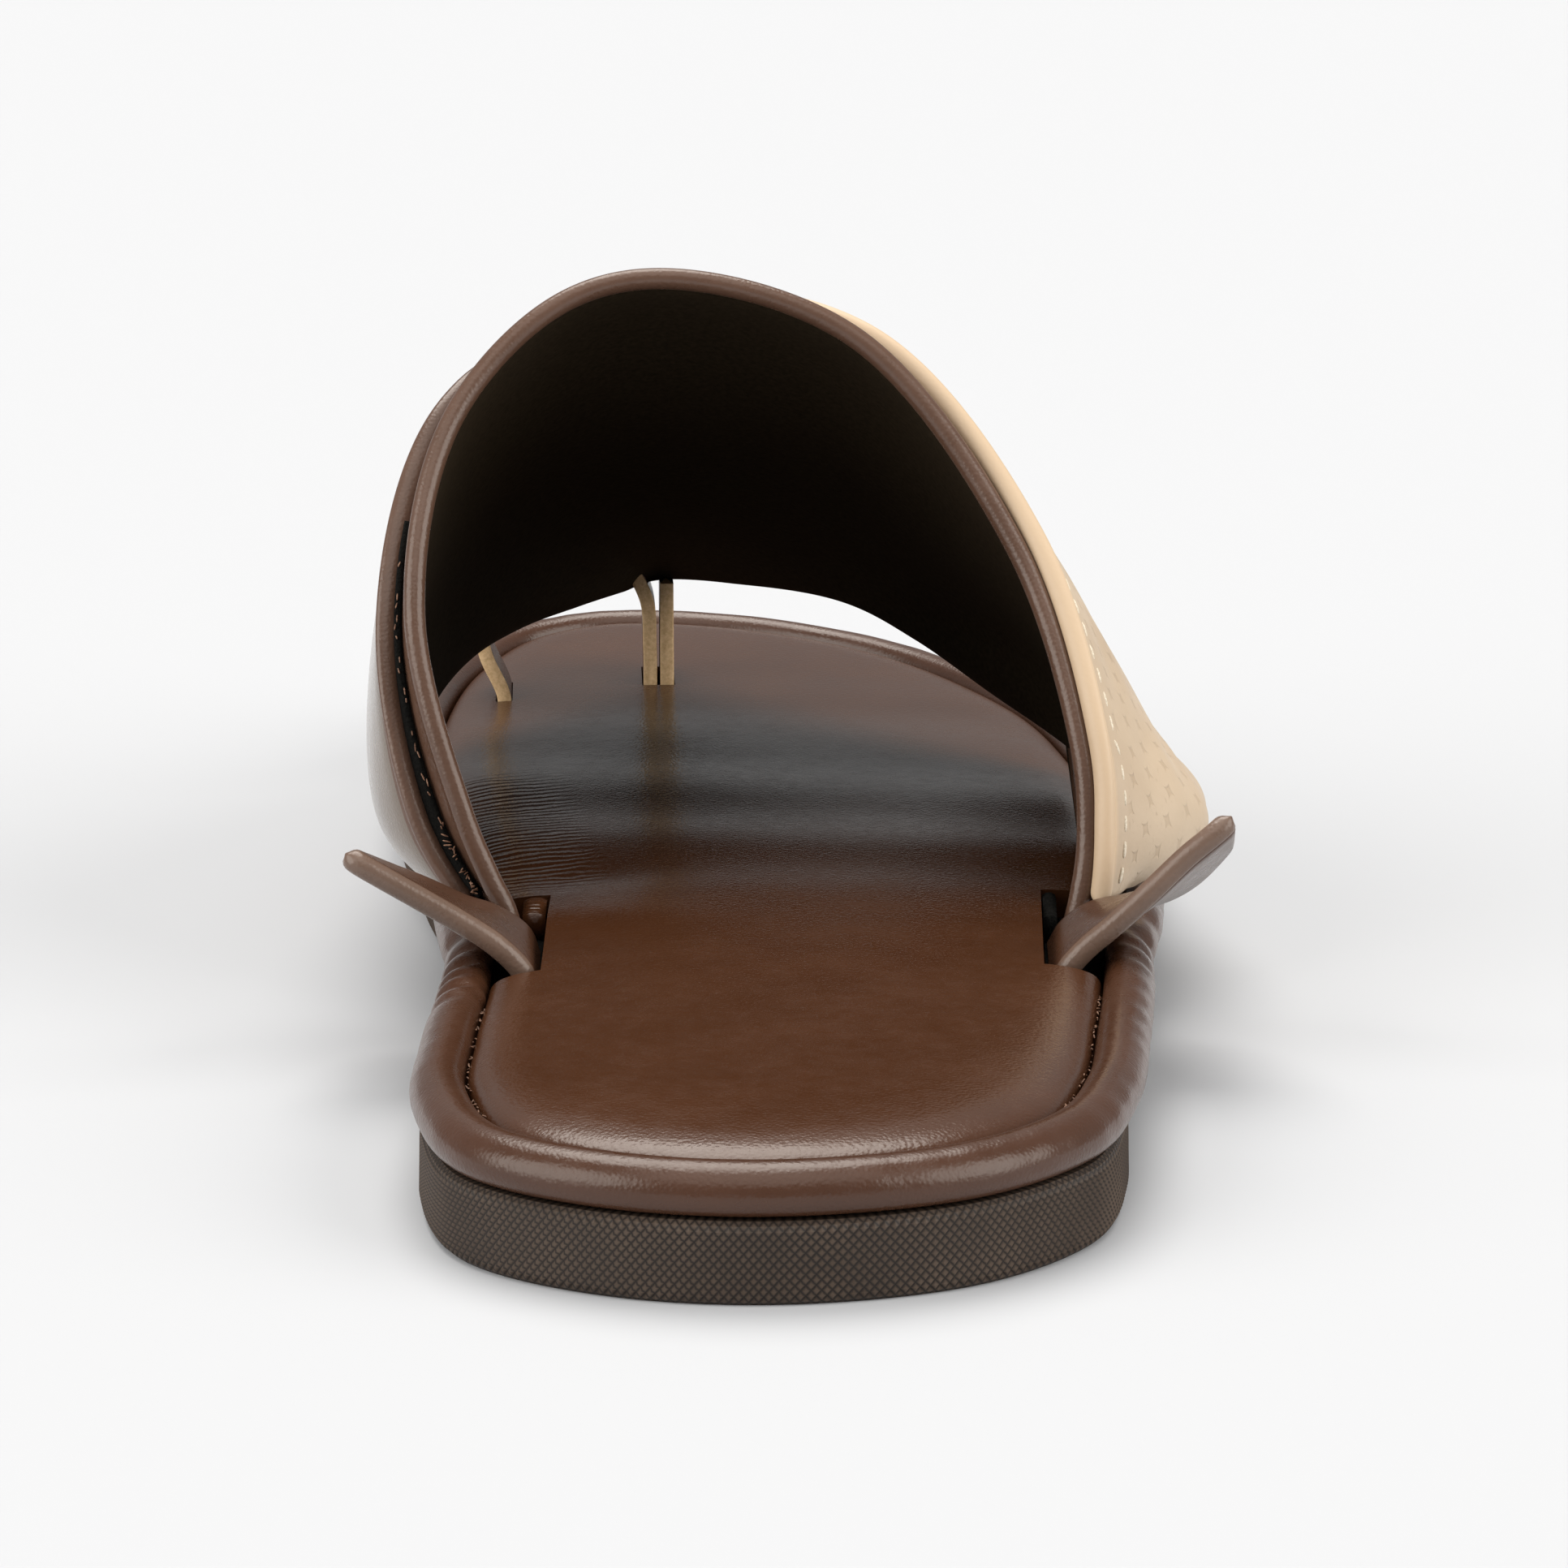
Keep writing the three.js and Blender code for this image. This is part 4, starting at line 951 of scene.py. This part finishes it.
# Floor, light and camera: a plain pale floor under an even grey sky, with a soft sun high in front,
# one at each side and a weak one behind.
# The camera stands behind the heel, a little above the sandal.
FLOOR_SIZE = 14.0
WARM_WHITE = (1.0, 0.94, 0.87)
SENSOR_MM = 36.0
CAMERA_PLACE = np.array([-18.974, -434.586, 149.9])
CAMERA_DOWN, CAMERA_SWING = 12.63, -2.5
bpy.ops.object.select_all(action="DESELECT")
bpy.ops.mesh.primitive_plane_add(size=FLOOR_SIZE)
floor = bpy.context.object
floor.name = "floor"
pale, tree, surface, where = blank_finish("pale_floor")
surface.inputs["Base Color"].default_value = (0.541, 0.568, 0.606, 1)
surface.inputs["Roughness"].default_value = 1.0
surface.inputs["Specular IOR Level"].default_value = 0.0
floor.data.materials.append(pale)

world = bpy.data.worlds.new("white_sky")
world.use_nodes = True
world.node_tree.nodes["Background"].inputs["Color"].default_value = (0.3, 0.3, 0.3, 1)
bpy.context.scene.world = world
for name, power, spread_deg, turn in (
    ("key_above", 2.3, 42, (-25, -4, 0)),
    ("left_side", 2.0, 50, (20, -62, 0)),
    ("right_side", 2.0, 50, (20, 62, 0)),
    ("rear_fill", 0.75, 50, (22, 0, 0)),
):
    lamp = bpy.data.objects.new(name, bpy.data.lights.new(name, "SUN"))
    lamp.data.energy = power
    lamp.data.color = WARM_WHITE
    lamp.data.angle = math.radians(spread_deg)
    lamp.rotation_euler = [math.radians(k) for k in turn]
    bpy.context.scene.collection.objects.link(lamp)

FOCAL_PIXELS, IMAGE_PIXELS = 5754.0, 1932.0
camera = bpy.data.objects.new("camera", bpy.data.cameras.new("camera"))
camera.data.sensor_width = SENSOR_MM
camera.data.lens = FOCAL_PIXELS / IMAGE_PIXELS * SENSOR_MM
camera.location = (CAMERA_PLACE - HEEL_TO_ORIGIN) * MM
camera.rotation_euler = (math.radians(90 - CAMERA_DOWN), 0, math.radians(CAMERA_SWING))
camera.data.clip_end = 50
bpy.context.scene.collection.objects.link(camera)
bpy.context.scene.camera = camera
bpy.context.scene.view_settings.view_transform = "Standard"
